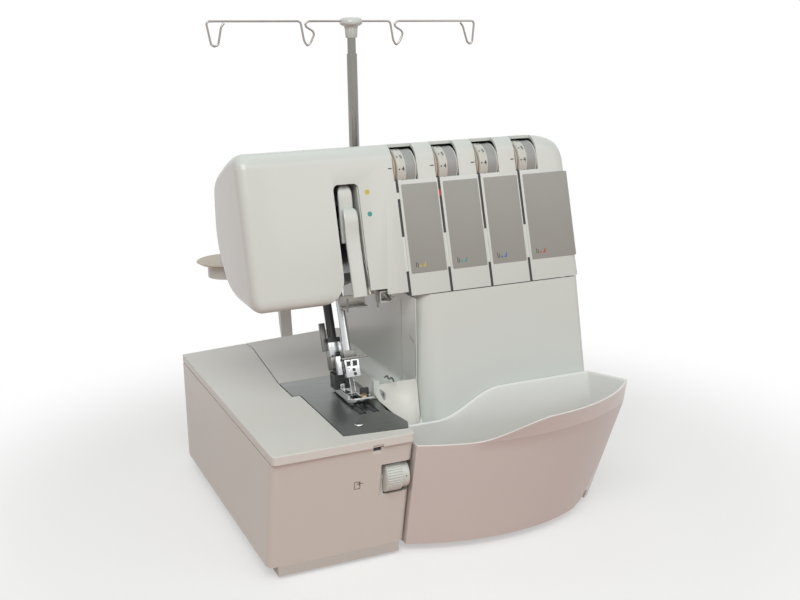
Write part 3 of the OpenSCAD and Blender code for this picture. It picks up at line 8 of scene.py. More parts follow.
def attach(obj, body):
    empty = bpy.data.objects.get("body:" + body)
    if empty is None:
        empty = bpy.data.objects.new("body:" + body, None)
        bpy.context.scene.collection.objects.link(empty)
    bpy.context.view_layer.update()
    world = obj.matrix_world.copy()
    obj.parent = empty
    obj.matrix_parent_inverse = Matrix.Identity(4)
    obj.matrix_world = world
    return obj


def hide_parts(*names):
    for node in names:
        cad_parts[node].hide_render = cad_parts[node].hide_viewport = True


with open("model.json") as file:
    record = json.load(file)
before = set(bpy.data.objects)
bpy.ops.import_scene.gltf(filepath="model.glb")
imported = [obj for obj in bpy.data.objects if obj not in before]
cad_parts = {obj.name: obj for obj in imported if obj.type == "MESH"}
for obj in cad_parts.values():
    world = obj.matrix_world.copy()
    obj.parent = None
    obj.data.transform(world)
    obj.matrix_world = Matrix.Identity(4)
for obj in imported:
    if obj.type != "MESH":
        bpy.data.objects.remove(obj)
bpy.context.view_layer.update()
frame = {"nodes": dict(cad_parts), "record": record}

NODES = frame["nodes"]

# Pieces are drawn in the CAD's workshop millimetres; the row frame's origin is at this point of them.
ORIGIN_X, ORIGIN_Y = 157.5, 128.0


def row(p):
    """A workshop point in millimetres as a row-frame point in metres."""
    return Vector(((p[0] - ORIGIN_X) / 1000, (p[1] - ORIGIN_Y) / 1000, p[2] / 1000))


def new_object(name, data):
    o = bpy.data.objects.new(name, data)
    bpy.context.scene.collection.objects.link(o)
    return o


def lerp(a, b, t):
    """The value a share t of the way from a to b."""
    return a + (b - a) * t


# ---- camera
CAMERA_PLACE = (-208.1, -709.9, 413.6)
YAW, PITCH, ROLL = radians(23.458), radians(14.637), radians(1.027)
FOCAL_PIXELS, IMAGE_WIDTH = 1123.5, 800


def make_camera():
    """A level camera turned by yaw, pitched down, then rolled."""
    forward = Vector((sin(YAW) * cos(PITCH), cos(YAW) * cos(PITCH), -sin(PITCH)))
    level = Vector((cos(YAW), -sin(YAW), 0))
    down = forward.cross(level)
    right = level * cos(ROLL) + down * sin(ROLL)
    up = level * sin(ROLL) - down * cos(ROLL)
    data = bpy.data.cameras.new("camera")
    data.sensor_width = 36
    data.lens = FOCAL_PIXELS / IMAGE_WIDTH * data.sensor_width
    data.clip_start, data.clip_end = 0.01, 50
    camera = new_object("camera", data)
    turn = Matrix((right, up, -forward)).transposed().to_4x4()
    turn.translation = row(CAMERA_PLACE)
    camera.matrix_world = turn
    bpy.context.scene.camera = camera


make_camera()


# ---- material nodes
def link(output, target):
    output.id_data.links.new(output, target)


def node(tree, kind, **values):
    """A shader node with its inputs and settings set by name."""
    n = tree.nodes.new(kind)
    for key, value in values.items():
        if key in n.inputs:
            n.inputs[key].default_value = value
        else:
            setattr(n, key, value)
    return n


def combine(tree, operation, a, b):
    """Two outputs put through a Math node."""
    n = node(tree, "ShaderNodeMath", operation=operation)
    link(a, n.inputs[0])
    link(b, n.inputs[1])
    return n.outputs[0]


def noise(tree, coords, scale, detail):
    n = node(tree, "ShaderNodeTexNoise", Scale=scale, Detail=detail, Roughness=0.5)
    link(coords, n.inputs["Vector"])
    return n.outputs["Fac"]


def spread(tree, value, low, high, out_low, out_high, curve="LINEAR"):
    """A value between low and high, brought between out_low and out_high."""
    n = node(tree, "ShaderNodeMapRange", interpolation_type=curve)
    for key, v in zip(("From Min", "From Max", "To Min", "To Max"), (low, high, out_low, out_high)):
        n.inputs[key].default_value = v
    link(value, n.inputs["Value"])
    return n.outputs["Result"]


def blend_colours(tree, fac, first, second):
    """The first colour where fac is 0, the second where it is 1; the first may be a node's output."""
    n = node(tree, "ShaderNodeMix", data_type="RGBA")
    if isinstance(first, tuple):
        n.inputs["A"].default_value = (*first, 1)
    else:
        link(first, n.inputs["A"])
    n.inputs["B"].default_value = (*second, 1)
    link(fac, n.inputs["Factor"])
    return n.outputs["Result"]


def relief(tree, height, strength, distance):
    n = node(tree, "ShaderNodeBump", Strength=strength, Distance=distance)
    link(height, n.inputs["Height"])
    return n


def mix_shaders(tree, fac, first, second, end):
    """The first shader where fac is 0, the second where it is 1, into the tree's end node."""
    n = tree.nodes.new("ShaderNodeMixShader")
    for source, target in zip((fac, first, second), n.inputs):
        link(source, target)
    link(n.outputs["Shader"], tree.nodes[end].inputs["Surface"])


# Where the tray's painted light starts and is full, in row-frame metres: a lighter tone on its shaded upper
# band and back wall.
PAINTED_LIGHT_BAND_Z, PAINTED_LIGHT_BACK_Y = (0.0968, 0.0980), (-0.101, -0.099)


def rim_tone(tree, place, colour, tone):
    """Painted light: a lighter tone on the tray's upper band in front and on its back wall inside, lifting
    the shade that falls there.
    """
    parts = tree.nodes.new("ShaderNodeSeparateXYZ")
    link(place, parts.inputs["Vector"])
    band = spread(tree, parts.outputs["Z"], *PAINTED_LIGHT_BAND_Z, 0.0, 1.0)
    back = spread(tree, parts.outputs["Y"], *PAINTED_LIGHT_BACK_Y, 0.0, 1.0)
    return blend_colours(tree, combine(tree, "MAXIMUM", band, back), colour, tone)


# ---- materials
MATERIALS = {}
SWELL_SCALE, SWELL_STRENGTH, SWELL_DEPTH = 14.0, 0.06, 0.0015
GRAIN_DEPTH, PATCH_SHARE = 0.0002, 0.06


def material(name, light, dark, rough, grain, bump, metal=0.0, spec=0.5, coat=0.0, stretch=(1, 1, 1),
             mottle=9.0, vary=0.2, rim=None):
    """A surface whose colour drifts between two near tones, with grain in its roughness and relief. Mottle
    and grain are their scales, bump is the relief's strength and vary the spread of the roughness."""
    m = bpy.data.materials.new(name)
    m.use_nodes = True
    tree = m.node_tree
    shader = tree.nodes["Principled BSDF"]
    settings = {"Metallic": metal, "Specular IOR Level": spec, "Coat Weight": coat, "Coat Roughness": 0.08}
    for key, value in settings.items():
        shader.inputs[key].default_value = value
    place = tree.nodes.new("ShaderNodeTexCoord").outputs["Object"]
    scaled = node(tree, "ShaderNodeMapping", Scale=stretch)
    link(place, scaled.inputs["Vector"])
    coords = scaled.outputs["Vector"]
    drift = spread(tree, noise(tree, place, mottle, 4.0), 0.3, 0.7, 0.0, 1.0)
    colour = blend_colours(tree, drift, light, dark)
    # rim is painted light: a lighter tone lifting the shade on the tray's upper band and inside back wall
    if rim:
        colour = rim_tone(tree, place, colour, rim)
    link(colour, shader.inputs["Base Color"])
    fine = noise(tree, coords, grain, 2.0)
    patches = noise(tree, coords, grain * PATCH_SHARE, 4.0)
    uneven = combine(tree, "ADD", fine, patches)
    polish = spread(tree, uneven, 0.6, 1.4, rough * (1 - vary), rough * (1 + vary))
    link(polish, shader.inputs["Roughness"])
    swell = relief(tree, noise(tree, place, SWELL_SCALE, 1.0), SWELL_STRENGTH, SWELL_DEPTH)
    skin = relief(tree, fine, bump, GRAIN_DEPTH)
    link(swell.outputs["Normal"], skin.inputs["Normal"])
    link(skin.outputs["Normal"], shader.inputs["Normal"])
    MATERIALS[name] = m


def make_plastics():
    material("cover_plastic", (0.67, 0.70, 0.67), (0.655, 0.685, 0.65), 0.26, 520, 0.006, coat=0.2, vary=0.05)
    material("bed_plastic", (0.73, 0.72, 0.68), (0.71, 0.70, 0.655), 0.34, 520, 0.002, spec=0.35, vary=0.03)
    # the tray's rim colour is painted light for the shade on its upper band and inside back wall
    material("tray_plastic", (0.70, 0.665, 0.64), (0.68, 0.645, 0.615), 0.30, 520, 0.006, coat=0.12,
             vary=0.05, rim=(0.79, 0.79, 0.77))
    material("base_plastic", (0.58, 0.57, 0.53), (0.54, 0.53, 0.49), 0.5, 2600, 0.2)
    material("black_plastic", (0.022, 0.022, 0.024), (0.015, 0.015, 0.017), 0.42, 2200, 0.2)
    material("grey_plastic", (0.345, 0.345, 0.32), (0.325, 0.325, 0.30), 0.42, 1900, 0.12)
    material("dial_plastic", (0.62, 0.62, 0.57), (0.58, 0.58, 0.53), 0.34, 1700, 0.08)
    material("dial_grey", (0.36, 0.37, 0.36), (0.32, 0.33, 0.32), 0.42, 1900, 0.08)
    # painted shade for the groove on the cover's side
    material("groove_painted_shade", (0.40, 0.41, 0.40), (0.36, 0.37, 0.36), 0.4, 1900, 0.05)
    material("disc_plastic", (0.55, 0.48, 0.38), (0.51, 0.44, 0.34), 0.38, 1700, 0.1)
    material("lamp_plastic", (0.80, 0.79, 0.70), (0.74, 0.73, 0.64), 0.4, 1700, 0.08)
    material("rubber", (0.020, 0.020, 0.021), (0.013, 0.013, 0.014), 0.75, 2400, 0.4)
    material("board", (0.02, 0.16, 0.07), (0.015, 0.11, 0.05), 0.4, 900, 0.3, mottle=120)


def make_metals():
    """Castings, turned and ground steel, brass and bronze; stretch draws the grain out along one axis."""
    material("cast_frame", (0.42, 0.43, 0.44), (0.36, 0.37, 0.38), 0.45, 2200, 0.35, metal=0.9)
    material("steel", (0.62, 0.63, 0.64), (0.54, 0.55, 0.56), 0.24, 1400, 0.08, metal=1.0,
             stretch=(1, 1, 0.12))
    material("stitch_steel", (0.29, 0.305, 0.30), (0.25, 0.265, 0.26), 0.36, 2600, 0.1, metal=1.0,
             stretch=(0.08, 1, 1))
    material("mast_metal", (0.31, 0.295, 0.27), (0.25, 0.24, 0.22), 0.26, 1600, 0.08, metal=1.0,
             stretch=(1, 1, 0.05))
    material("dull_steel", (0.24, 0.235, 0.22), (0.19, 0.185, 0.175), 0.38, 2200, 0.1, metal=1.0)
    material("black_steel", (0.03, 0.03, 0.033), (0.018, 0.018, 0.02), 0.32, 2000, 0.1, spec=0.6)
    material("guide_metal", (0.50, 0.49, 0.45), (0.44, 0.43, 0.40), 0.4, 2200, 0.08, metal=0.5)
    material("wire", (0.40, 0.37, 0.35), (0.34, 0.31, 0.29), 0.26, 2400, 0.05, metal=1.0)
    material("brass", (0.72, 0.55, 0.30), (0.62, 0.46, 0.24), 0.3, 2200, 0.05, metal=1.0)
    material("bronze", (0.42, 0.25, 0.09), (0.36, 0.20, 0.07), 0.38, 2600, 0.25, metal=1.0)


# Tones of the threading colours, in the order of the tension slots.
MARKS = {"mark_yellow": ((0.66, 0.50, 0.05), (0.60, 0.45, 0.05)),
         "mark_teal": ((0.06, 0.36, 0.34), (0.05, 0.31, 0.30)),
         "mark_blue": ((0.07, 0.17, 0.48), (0.06, 0.14, 0.42)),
         "mark_red": ((0.52, 0.06, 0.05), (0.46, 0.05, 0.045))}


def make_inks():
    # one dark material for print and dark marks, and for painted shade in slits, holes and slots
    material("dark_marks_and_painted_shade", (0.03, 0.03, 0.032), (0.045, 0.045, 0.047), 0.55, 3000, 0.02)
    for name, (light, dark) in MARKS.items():
        material(name, light, dark, 0.5, 2600, 0.02)


make_plastics()
make_metals()
make_inks()


# ---- CAD nodes that stay
SLOT_OF = {p["node"]: p["material_slot"] for p in frame["record"]["subparts"]}
# Rounding of their edges in millimetres, where it isn't the usual one.
EDGE = {"cloth_plate": 1.0, "bed_shell": 1.2, "bed_deck": 0.6, "looper_cover": 0.7, "tower_shell": 0.6,
        "side_cover": 0.7, "spool_bar": 1.2, "base_pan": 0.5, "waste_tray": 0.6, "head_shell": 0.6,
        "needles": 0, "screws": 0.15, "stitch_plate": 0.25, "feed_dog_main": 0.05, "feed_dog_diff": 0.05}
USUAL_EDGE = 0.3
EDGE_ANGLE, USUAL_SMOOTH = radians(32), 34


def modifier(o, kind, **settings):
    """Adds a modifier with its settings."""
    m = o.modifiers.new(kind.lower(), kind)
    for key, value in settings.items():
        setattr(m, key, value)


def shade_smooth(mesh):
    mesh.polygons.foreach_set("use_smooth", [True] * len(mesh.polygons))


def round_edges(o, width):
    """Welds an imported node and rounds its edges by width millimetres, without moving its mesh."""
    mesh = o.data
    if "custom_normal" in mesh.attributes:
        mesh.attributes.remove(mesh.attributes["custom_normal"])
    shade_smooth(mesh)
    modifier(o, "WELD", merge_threshold=2e-6)
    modifier(o, "DECIMATE", decimate_type="DISSOLVE", angle_limit=radians(0.4))
    modifier(o, "BEVEL", width=width / 1000, segments=2, limit_method="ANGLE", angle_limit=EDGE_ANGLE,
             harden_normals=True, use_clamp_overlap=True)


def dress(o, name):
    """Gives an object one material."""
    o.data.materials.clear()
    o.data.materials.append(MATERIALS[name])


def dress_nodes():
    for name, o in NODES.items():
        dress(o, "black_steel" if name.startswith("feed_dog") else SLOT_OF.get(name, "steel"))
        round_edges(o, EDGE.get(name, USUAL_EDGE))


dress_nodes()


# ---- flat outlines and paths
def rect(x0, y0, x1, y1):
    return [(x0, y0), (x1, y0), (x1, y1), (x0, y1)]


def arc(cx, cy, r, a0, a1, steps):
    """Points of a flat arc, angles in degrees."""
    out = []
    for i in range(steps + 1):
        a = radians(lerp(a0, a1, i / steps))
        out.append((cx + r * cos(a), cy + r * sin(a)))
    return out


def round_rect(x0, y0, x1, y1, r, steps=6):
    return (arc(x1 - r, y0 + r, r, -90, 0, steps) + arc(x1 - r, y1 - r, r, 0, 90, steps)
            + arc(x0 + r, y1 - r, r, 90, 180, steps) + arc(x0 + r, y0 + r, r, 180, 270, steps))


def drawn_in(outline, d):
    """An anticlockwise outline drawn in by d; at sharp corners the shift is limited."""
    moved = []
    for i, p in enumerate(outline):
        u = (p - outline[i - 1]).normalized()
        v = (outline[(i + 1) % len(outline)] - p).normalized()
        inward = Vector((-u.y - v.y, u.x + v.x))
        moved.append(p + inward / max(1 + u.dot(v), 0.6) * d)
    return moved


def round_corner(before, at, after, reach):
    """Curve that leaves the line reach before a corner and meets the next one reach after it."""
    start = at + (before - at).normalized() * reach
    end = at + (after - at).normalized() * reach
    return [start.lerp(at, t).lerp(at.lerp(end, t), t) for t in (0, 0.2, 0.4, 0.6, 0.8, 1)]


def round_path(points, radius):
    """Straight runs between workshop points, with each corner rounded."""
    pts = [Vector(p) for p in points]
    out = [pts[0]]
    for a, b, c in zip(pts, pts[1:], pts[2:]):
        out += round_corner(a, b, c, min(radius, (a - b).length * 0.45, (c - b).length * 0.45))
    return out + [pts[-1]]


def smooth_path(points, steps=8):
    """Catmull-Rom curve through workshop points."""
    pts = [Vector(p) for p in points]
    pts = [pts[0] * 2 - pts[1]] + pts + [pts[-1] * 2 - pts[-2]]
    out = []
    for a, b, c, d in zip(pts, pts[1:], pts[2:], pts[3:]):
        for k in range(steps):
            t = k / steps
            out.append(0.5 * (2 * b + (c - a) * t + (2 * a - 5 * b + 4 * c - d) * t * t
                              + (3 * b - a - 3 * c + d) * t * t * t))
    return out + [pts[-2]]


# ---- solids
def loft(rings):
    """Closed rings of workshop points, joined one to the next and capped."""
    bm = bmesh.new()
    made = [[bm.verts.new(row(p)) for p in ring] for ring in rings]
    count = len(rings[0])
    for a, b in zip(made, made[1:]):
        for i in range(count):
            j = (i + 1) % count
            bm.faces.new((a[i], a[j], b[j], b[i]))
    bm.faces.new(made[0][::-1])
    bm.faces.new(made[-1])
    bmesh.ops.recalc_face_normals(bm, faces=bm.faces)
    return bm


def extrude(outline, place_low, place_high):
    """Prism between two copies of a flat outline; each place turns its points into workshop points."""
    return loft([[place_low(*p) for p in outline], [place_high(*p) for p in outline]])


def prism_x(outline, x0, x1):
    return extrude(outline, lambda y, z: (x0, y, z), lambda y, z: (x1, y, z))


def prism_y(outline, y0, y1):
    return extrude(outline, lambda x, z: (x, y0, z), lambda x, z: (x, y1, z))


def prism_z(outline, z0, z1):
    return extrude(outline, lambda x, y: (x, y, z0), lambda x, y: (x, y, z1))


def block(low, high):
    """Box between two corners."""
    return prism_z(rect(*low[:2], *high[:2]), low[2], high[2])


def axes_across(axis):
    """Two unit vectors square to axis."""
    side = axis.cross(Vector((0, 0, 1)) if abs(axis.z) < 0.9 else Vector((1, 0, 0))).normalized()
    return side, axis.cross(side).normalized()


def lathe(profile, base, axis, steps=64, wave=None):
    """Solid of revolution: profile is (radius, way along axis); wave may change a radius by step and way."""
    axis = Vector(axis).normalized()
    side, other = axes_across(axis)
    rings = []
    for r, d in profile:
        ring = []
        for i in range(steps):
            a = 2 * pi * i / steps
            radius = max(r + (wave(i, d) if wave else 0), 0.01)
            ring.append(Vector(base) + axis * d + (side * cos(a) + other * sin(a)) * radius)
        rings.append(ring)
    return loft(rings)


def disc(at, out, r, depth, steps=14):
    """Flat round mark that stands out from a point."""
    return lathe([(0.05, 0), (r, 0), (r, depth)], at, out, steps)


def tube(points, radius, steps=14):
    """Round bar along workshop points, with flat ends."""
    pts = [Vector(p) for p in points]
    rings, last = [], None
    for i, p in enumerate(pts):
        along = (pts[min(i + 1, len(pts) - 1)] - pts[max(i - 1, 0)]).normalized()
        if last is None:
            last, _ = axes_across(along)
        side = (last - along * last.dot(along)).normalized()
        other = along.cross(side)
        last = side
        rings.append([p + (side * cos(t) + other * sin(t)) * radius
                      for t in (2 * pi * k / steps for k in range(steps))])
    return loft(rings)


def join(*solids):
    """One bmesh out of several."""
    out = bmesh.new()
    for bm in solids:
        mesh = bpy.data.meshes.new("joined")
        bm.to_mesh(mesh)
        bm.free()
        out.from_mesh(mesh)
        bpy.data.meshes.remove(mesh)
    return out


# ---- pieces
def as_object(bm, name):
    mesh = bpy.data.meshes.new(name)
    bm.to_mesh(mesh)
    bm.free()
    return new_object(name, mesh)


def evaluated_mesh(o):
    bpy.context.view_layer.update()
    return bpy.data.meshes.new_from_object(o.evaluated_get(bpy.context.evaluated_depsgraph_get()))


def bake(o):
    """Applies an object's modifiers to its mesh."""
    mesh = evaluated_mesh(o)
    o.modifiers.clear()
    o.data = mesh


def cut(o, cutters):
    """Takes each cutter's solid out of an object."""
    for bm in cutters:
        tool = as_object(bm, "cutter")
        modifier(o, "BOOLEAN", operation="DIFFERENCE", solver="EXACT", object=tool)
        bake(o)
        bpy.data.objects.remove(tool)


def soften(o, width, segments, smooth):
    """Rounds edges by width millimetres, and shades smooth where faces meet at less than smooth degrees."""
    if width:
        modifier(o, "BEVEL", width=width / 1000, segments=segments, limit_method="ANGLE",
                 angle_limit=EDGE_ANGLE, use_clamp_overlap=True, miter_outer="MITER_ARC")
        bake(o)
    shade_smooth(o.data)
    o.data.set_sharp_from_angle(angle=radians(smooth))


def piece(bm, name, body, slot, *replaced, mat=None, cutters=(), edge=0, segments=2, smooth=None):
    """Makes a solid a piece of the scene, less its cutters and with its edges rounded by edge millimetres.
    Without edge and smooth its faces stay flat. It stands for the CAD nodes in replaced."""
    o = as_object(bm, name)
    cut(o, cutters)
    if edge or smooth:
        soften(o, edge, segments, smooth or USUAL_SMOOTH)
    dress(o, mat or slot)
    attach(o, body)
    if replaced:
        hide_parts(*replaced)


def printed(bm, name, body="machine", slot="black_plastic"):
    """Makes a thin solid a dark print, or painted shade where a slit, hole or slot would lie dark."""
    piece(bm, name, body, slot, mat="dark_marks_and_painted_shade")


# ---- head
BODY_W, WALL = 290.0, 2.5
HEAD_X0, HEAD_X1, HEAD_BOTTOM, SEAM = 11.0, 291.2, 194.0, 195.4
UNDER_HEAD, OVER_HEAD, BEHIND_HEAD = 185, 315, 300
FRONT_Y, LEAN = 64, tan(radians(15.2))
LEFT_ROUND, RIGHT_ROUND, ROUND_STEPS = 8, 5.4, 8
LEFT_FOOT, RIGHT_FOOT = 11, 0.4
FALL_X, FALL_REACH, FALL, FALL_Z, FALL_RISE = 257, 33, 13, 264, 38
SLOT_X0, SLOT_X1, SLOT_TOP = 84.0, 104.6, 283.0
TOWER_X, SHELF_Y, LIFTER_X, ROD_X = 140, 118, 51, 237
DIAL_Y, DIAL_Z, DIAL_PITCH, FIRST_SLOT = 103.5, 288.5, 36.05, 136.9
SLOTS = [FIRST_SLOT + i * DIAL_PITCH for i in range(4)]


def head_y(z):
    """Front of the head at a height."""
    return FRONT_Y + (z - SEAM) * LEAN


def top_fall(x):
    """How far the top falls away near the head's right end."""
    t = max(0.0, (x - FALL_X) / FALL_REACH)
    return FALL * (1 - sqrt(max(0.0, 1 - t * t)))


def head_ring(x, d, foot):
    """Side view of the head at x, drawn in by d; foot is the rounding of the front's lower edge."""
    corners = [(head_y(HEAD_BOTTOM), HEAD_BOTTOM, foot), (115.5, HEAD_BOTTOM, 6), (138, 198, 10),
               (153, 211, 10), (165, 225, 10), (170.4, 242, 10), (170.4, 267, 8), (168.8, 279, 8),
               (160, 287.8, 8), (148, 293.4, 10), (128, 302.6, 10), (112, 307.8, 8), (102, 309.8, 6),
               (head_y(303.5), 303.5, 7)]
    points = drawn_in([Vector(c[:2]) for c in corners], d)
    ring = []
    for i, at in enumerate(points):
        before, after = points[i - 1], points[(i + 1) % len(points)]
        # a corner's curve takes less than half of each side
        room = min((before - at).length, (after - at).length) * 0.46
        for q in round_corner(before, at, after, max(min(corners[i][2], room), 0.3)):
            ring.append((x, q.x, q.y - top_fall(x) * min(1, max(0, (q.y - FALL_Z) / FALL_RISE))))
    return ring


def end_round(r):
    """Steps round an end edge of radius r: the way in from the end, and how much smaller the outline is."""
    angles = [radians(90 - 90 * k / ROUND_STEPS) for k in range(ROUND_STEPS + 1)]
    return [(r * (1 - sin(a)), r * (1 - cos(a))) for a in angles]


def head_form(inset, left_foot):
    """The head's outer form, or its hollow where inset is the wall."""
    rings = [head_ring(HEAD_X0 + inset + way, inset + less, left_foot)
             for way, less in end_round(LEFT_ROUND - inset)]
    rings += [head_ring(x, inset, left_foot) for x in (40, 60, 82)]
    rings += [head_ring(x, inset, RIGHT_FOOT) for x in (90, 130, 180, 230, 257, 262, 267, 272, 276, 280)]
    rings += [head_ring(HEAD_X1 - inset - way, inset + less, RIGHT_FOOT)
              for way, less in reversed(end_round(RIGHT_ROUND - inset))]
    return loft(rings)


def head_openings():
    """What is taken out of the head's form."""
    needle_corner = [(SLOT_X0, 230)] + arc(62, 216, 22, 0, -90, 10)
    needle_corner += [(62, UNDER_HEAD), (SLOT_X1, UNDER_HEAD), (SLOT_X1, 230)]
    return [
        head_form(WALL, LEFT_FOOT - 2),
        # open to the tower, with the front edge on the seam
        block((TOWER_X - 4, 0, UNDER_HEAD), (BEHIND_HEAD, BEHIND_HEAD, SEAM)),
        block((TOWER_X + WALL, 78, UNDER_HEAD), (BODY_W - WALL, SHELF_Y, SEAM + WALL + 1)),
        # rounded lower corner left of the needle, and the lower edge right of it
        prism_y(needle_corner, 30, 82),
        block((SLOT_X0, 20, UNDER_HEAD), (SLOT_X1, 150, 206)),
        block((SLOT_X1 - 0.5, 20, UNDER_HEAD), (118.5, 150, 203)),
        block((118, 20, UNDER_HEAD), (FIRST_SLOT - 1, 150, 198.6)),
        # slots of the presser lifter and of the cover's rod
        block((LIFTER_X - 1.5, 112, UNDER_HEAD), (LIFTER_X + 12.5, 180, 225)),
        block((ROD_X - 3, SHELF_Y - 1, HEAD_BOTTOM), (ROD_X + 9, SHELF_Y + 5, 199)),
        # slot of the take-up covers
        prism_y(round_rect(SLOT_X0, 170, SLOT_X1, SLOT_TOP, 4), 0, 130),
    ]


def make_head():
    cutters = head_openings()
    for x in SLOTS:
        # the thread's slot, and the window of its dial
        cutters.append(block((x - 1.15, 0, 190), (x + 1.15, 100, OVER_HEAD)))
        cutters.append(block((x - 1.9, 0, DIAL_Z - 5.9), (x + 18.7, DIAL_Y + 1, OVER_HEAD)))
    piece(head_form(0, LEFT_FOOT), "head_cover", "machine", "cover_plastic", "head_shell",
          cutters=cutters, edge=0.9, segments=3)


# ---- waste tray
TRAY_X, TRAY_FLOOR, TRAY_MID, TRAY_TOP, TRAY_RIGHT = 111.9, 7.0, 97.0, 118.0, 290.2
RIM_LOW, RIM_RISE, RIM_RISE_X, RIM_RISE_LENGTH = 98, 19, 146, 58
# The rise lies further right along the front than along the back, which starts behind this y.
FRONT_SHIFT, BACK_SHIFT, TRAY_BACK_Y = 7, 2, 30
COVER_LEAN, COVER_GAP = tan(radians(11.6)), 0.6


def cover_front(z):
    """Back wall of the tray's upper part, a gap in front of the leaning looper cover."""
    return FRONT_Y + (z - SEAM) * COVER_LEAN - COVER_GAP


# Levels of the tray: height, Bezier points of the front edge, and the back right corner.
TRAY_CURVES = (
    (TRAY_FLOOR, ((TRAY_X, 25), (165, 0), (235, -3), (287, 39)), (288, 46)),
    (TRAY_MID, ((TRAY_X, 1), (165, -24), (245, -28), (304, 15)), (TRAY_RIGHT, cover_front(TRAY_MID))),
    (TRAY_TOP, ((TRAY_X, -14), (180, -46.8), (262, -41.4), (306.5, 13)), (TRAY_RIGHT, cover_front(TRAY_TOP))),
)


def rim_height(x):
    """Height of the tray's rim: low at the left, high at the right, with an S between."""
    t = min(1, max(0, (x - RIM_RISE_X) / RIM_RISE_LENGTH))
    return RIM_LOW + RIM_RISE * (3 * t * t - 2 * t ** 3)


def bezier(p, t):
    u = 1 - t
    return Vector([u ** 3 * a + 3 * u * u * t * b + 3 * u * t * t * c + t ** 3 * d for a, b, c, d in zip(*p)])


def tray_level(curve, back):
    """Outline of the tray at one level: front, right end, back, left end."""
    front = [bezier(curve, i / 48) for i in range(49)]
    corner, far, near = Vector(back), front[-1], Vector((TRAY_X, back[1]))
    out = front + [far.lerp(corner, k / 8) for k in range(1, 8)]
    out += [corner.lerp(near, k / 40) for k in range(41)]
    return out + [near.lerp(front[0], k / 8) for k in range(1, 8)]


TRAY_LEVELS = [(z, tray_level(curve, back)) for z, curve, back in TRAY_CURVES]


def tray_point(i, z):
    """Point i of the tray's outline at a height."""
    (z0, a), (z1, b) = TRAY_LEVELS[:2] if z <= TRAY_MID else TRAY_LEVELS[1:]
    return a[i].lerp(b[i], (z - z0) / (z1 - z0))


def rim_top(i):
    """Height of the rim at point i. The outline widens with height, so a few rounds settle on it."""
    z = 100.0
    for _ in range(30):
        q = tray_point(i, z)
        z = rim_height(q.x - (FRONT_SHIFT if q.y < TRAY_BACK_Y else BACK_SHIFT))
    return z


def tray_ring(tops, share, inset, kind):
    """One ring of the tray's skin, at a share of the wall's lower part, its upper part, or the rim's arc."""
    half = WALL / 2
    floor = TRAY_FLOOR + (WALL if inset else 0)
    heights = []
    for top in tops:
        knee = min(TRAY_MID, top - 1.5)
        if kind == "rim":
            heights.append(top - half + half * sin(radians(share)))
        elif kind == "upper":
            heights.append(lerp(knee, top - half, share))
        else:
            heights.append(lerp(floor, knee, share))
    if kind == "rim":
        inset = half * (1 - cos(radians(share)))
    outline = drawn_in([tray_point(i, z) for i, z in enumerate(heights)], inset)
    return [(q.x, q.y, z) for q, z in zip(outline, heights)]


def make_tray():
    tops = [rim_top(i) for i in range(len(TRAY_LEVELS[0][1]))]
    # up the outside, over the rim and down the inside
    rows = [(share, 0.0, "lower") for share in (0.0, 0.02, 0.3, 0.6, 0.9, 1.0)]
    rows += [(share, 0.0, "upper") for share in (0.35, 0.7, 1.0)]
    rows += [(angle, None, "rim") for angle in (22.5, 45, 67.5, 90, 112.5, 135, 157.5)]
    rows += [(share, WALL, "upper") for share in (1.0, 0.5, 0.0)]
    rows += [(share, WALL, "lower") for share in (0.9, 0.6, 0.3, 0.03)]
    skin = loft([tray_ring(tops, *r) for r in rows])
    # notch in the lower right corner
    notch = [(266, 4), (292, 4), (292, 8), (281, 8.5), (282, 16), (279.5, 18.5), (276.5, 16), (273.5, 10.5),
             (266, 8)]
    piece(skin, "tray_bin", "waste_tray", "tray_plastic", "waste_tray",
          cutters=[prism_y(notch, -40, 43)], smooth=24)
    for k, x in enumerate((140, 250)):
        key = block((x, 43, 50), (x + 8, 55.6, 62))
        piece(key, f"tray_key_{k + 1}", "waste_tray", "tray_plastic", edge=0.6)


# ---- take-up covers
# Height and distance behind the head's front, up each cover.
FRONT_COVER = ((199.2, 1.0), (206, 1.0), (214, 1.2), (222, 1.6), (230, 2.0), (238, 2.3), (245, 2.2),
               (250, 1.6), (254, 1.0), (257, 0.8), (259.5, 1.2), (261.5, 1.9), (263, 3.0), (264, 4.2),
               (264.6, 5.6))
BACK_COVER = ((238, 9.5), (246, 9.0), (254, 8.2), (261, 7.2), (267, 6.4), (272, 5.8), (275.5, 5.6),
              (278, 6.0), (280, 7.2), (281.5, 9.4))
COVER_SIDE_FLATNESS, COVER_FACE_FLATNESS = 0.28, 0.45
TIP_BOW, TIP_PULL = 2.2, 0.92


def tongue(line, x0, x1, depth, thinning, tip):
    """Flat bar of rounded section up a path in y and z. Over the share tip it is drawn in to a round top,
    and over its last fifth it gets thinner."""
    rings, steps = [], 20
    path = [Vector((head_y(z) + back, z)) for z, back in line]
    for i, at in enumerate(path):
        t = i / (len(path) - 1)
        along = (path[min(i + 1, len(path) - 1)] - path[max(i - 1, 0)]).normalized()
        normal = Vector((-along.y, along.x))
        u = max(0.0, (t - (1 - tip)) / tip)
        pull = (x1 - x0) / 2 * (1 - sqrt(max(0.0, 1 - u ** TIP_BOW))) * TIP_PULL
        thick = depth - thinning * max(0, t - 0.8) / 0.2
        ring = []
        for k in range(steps):
            angle = 2 * pi * (k + 0.5) / steps
            c, s = cos(angle), sin(angle)
            across = copysign(abs(c) ** COVER_SIDE_FLATNESS, c) * ((x1 - x0) / 2 - pull)
            out = copysign(abs(s) ** COVER_FACE_FLATNESS, s) * thick / 2
            q = at + normal * out
            ring.append(((x0 + x1) / 2 + across, q.x, q.y))
        rings.append(ring)
    return loft(rings)


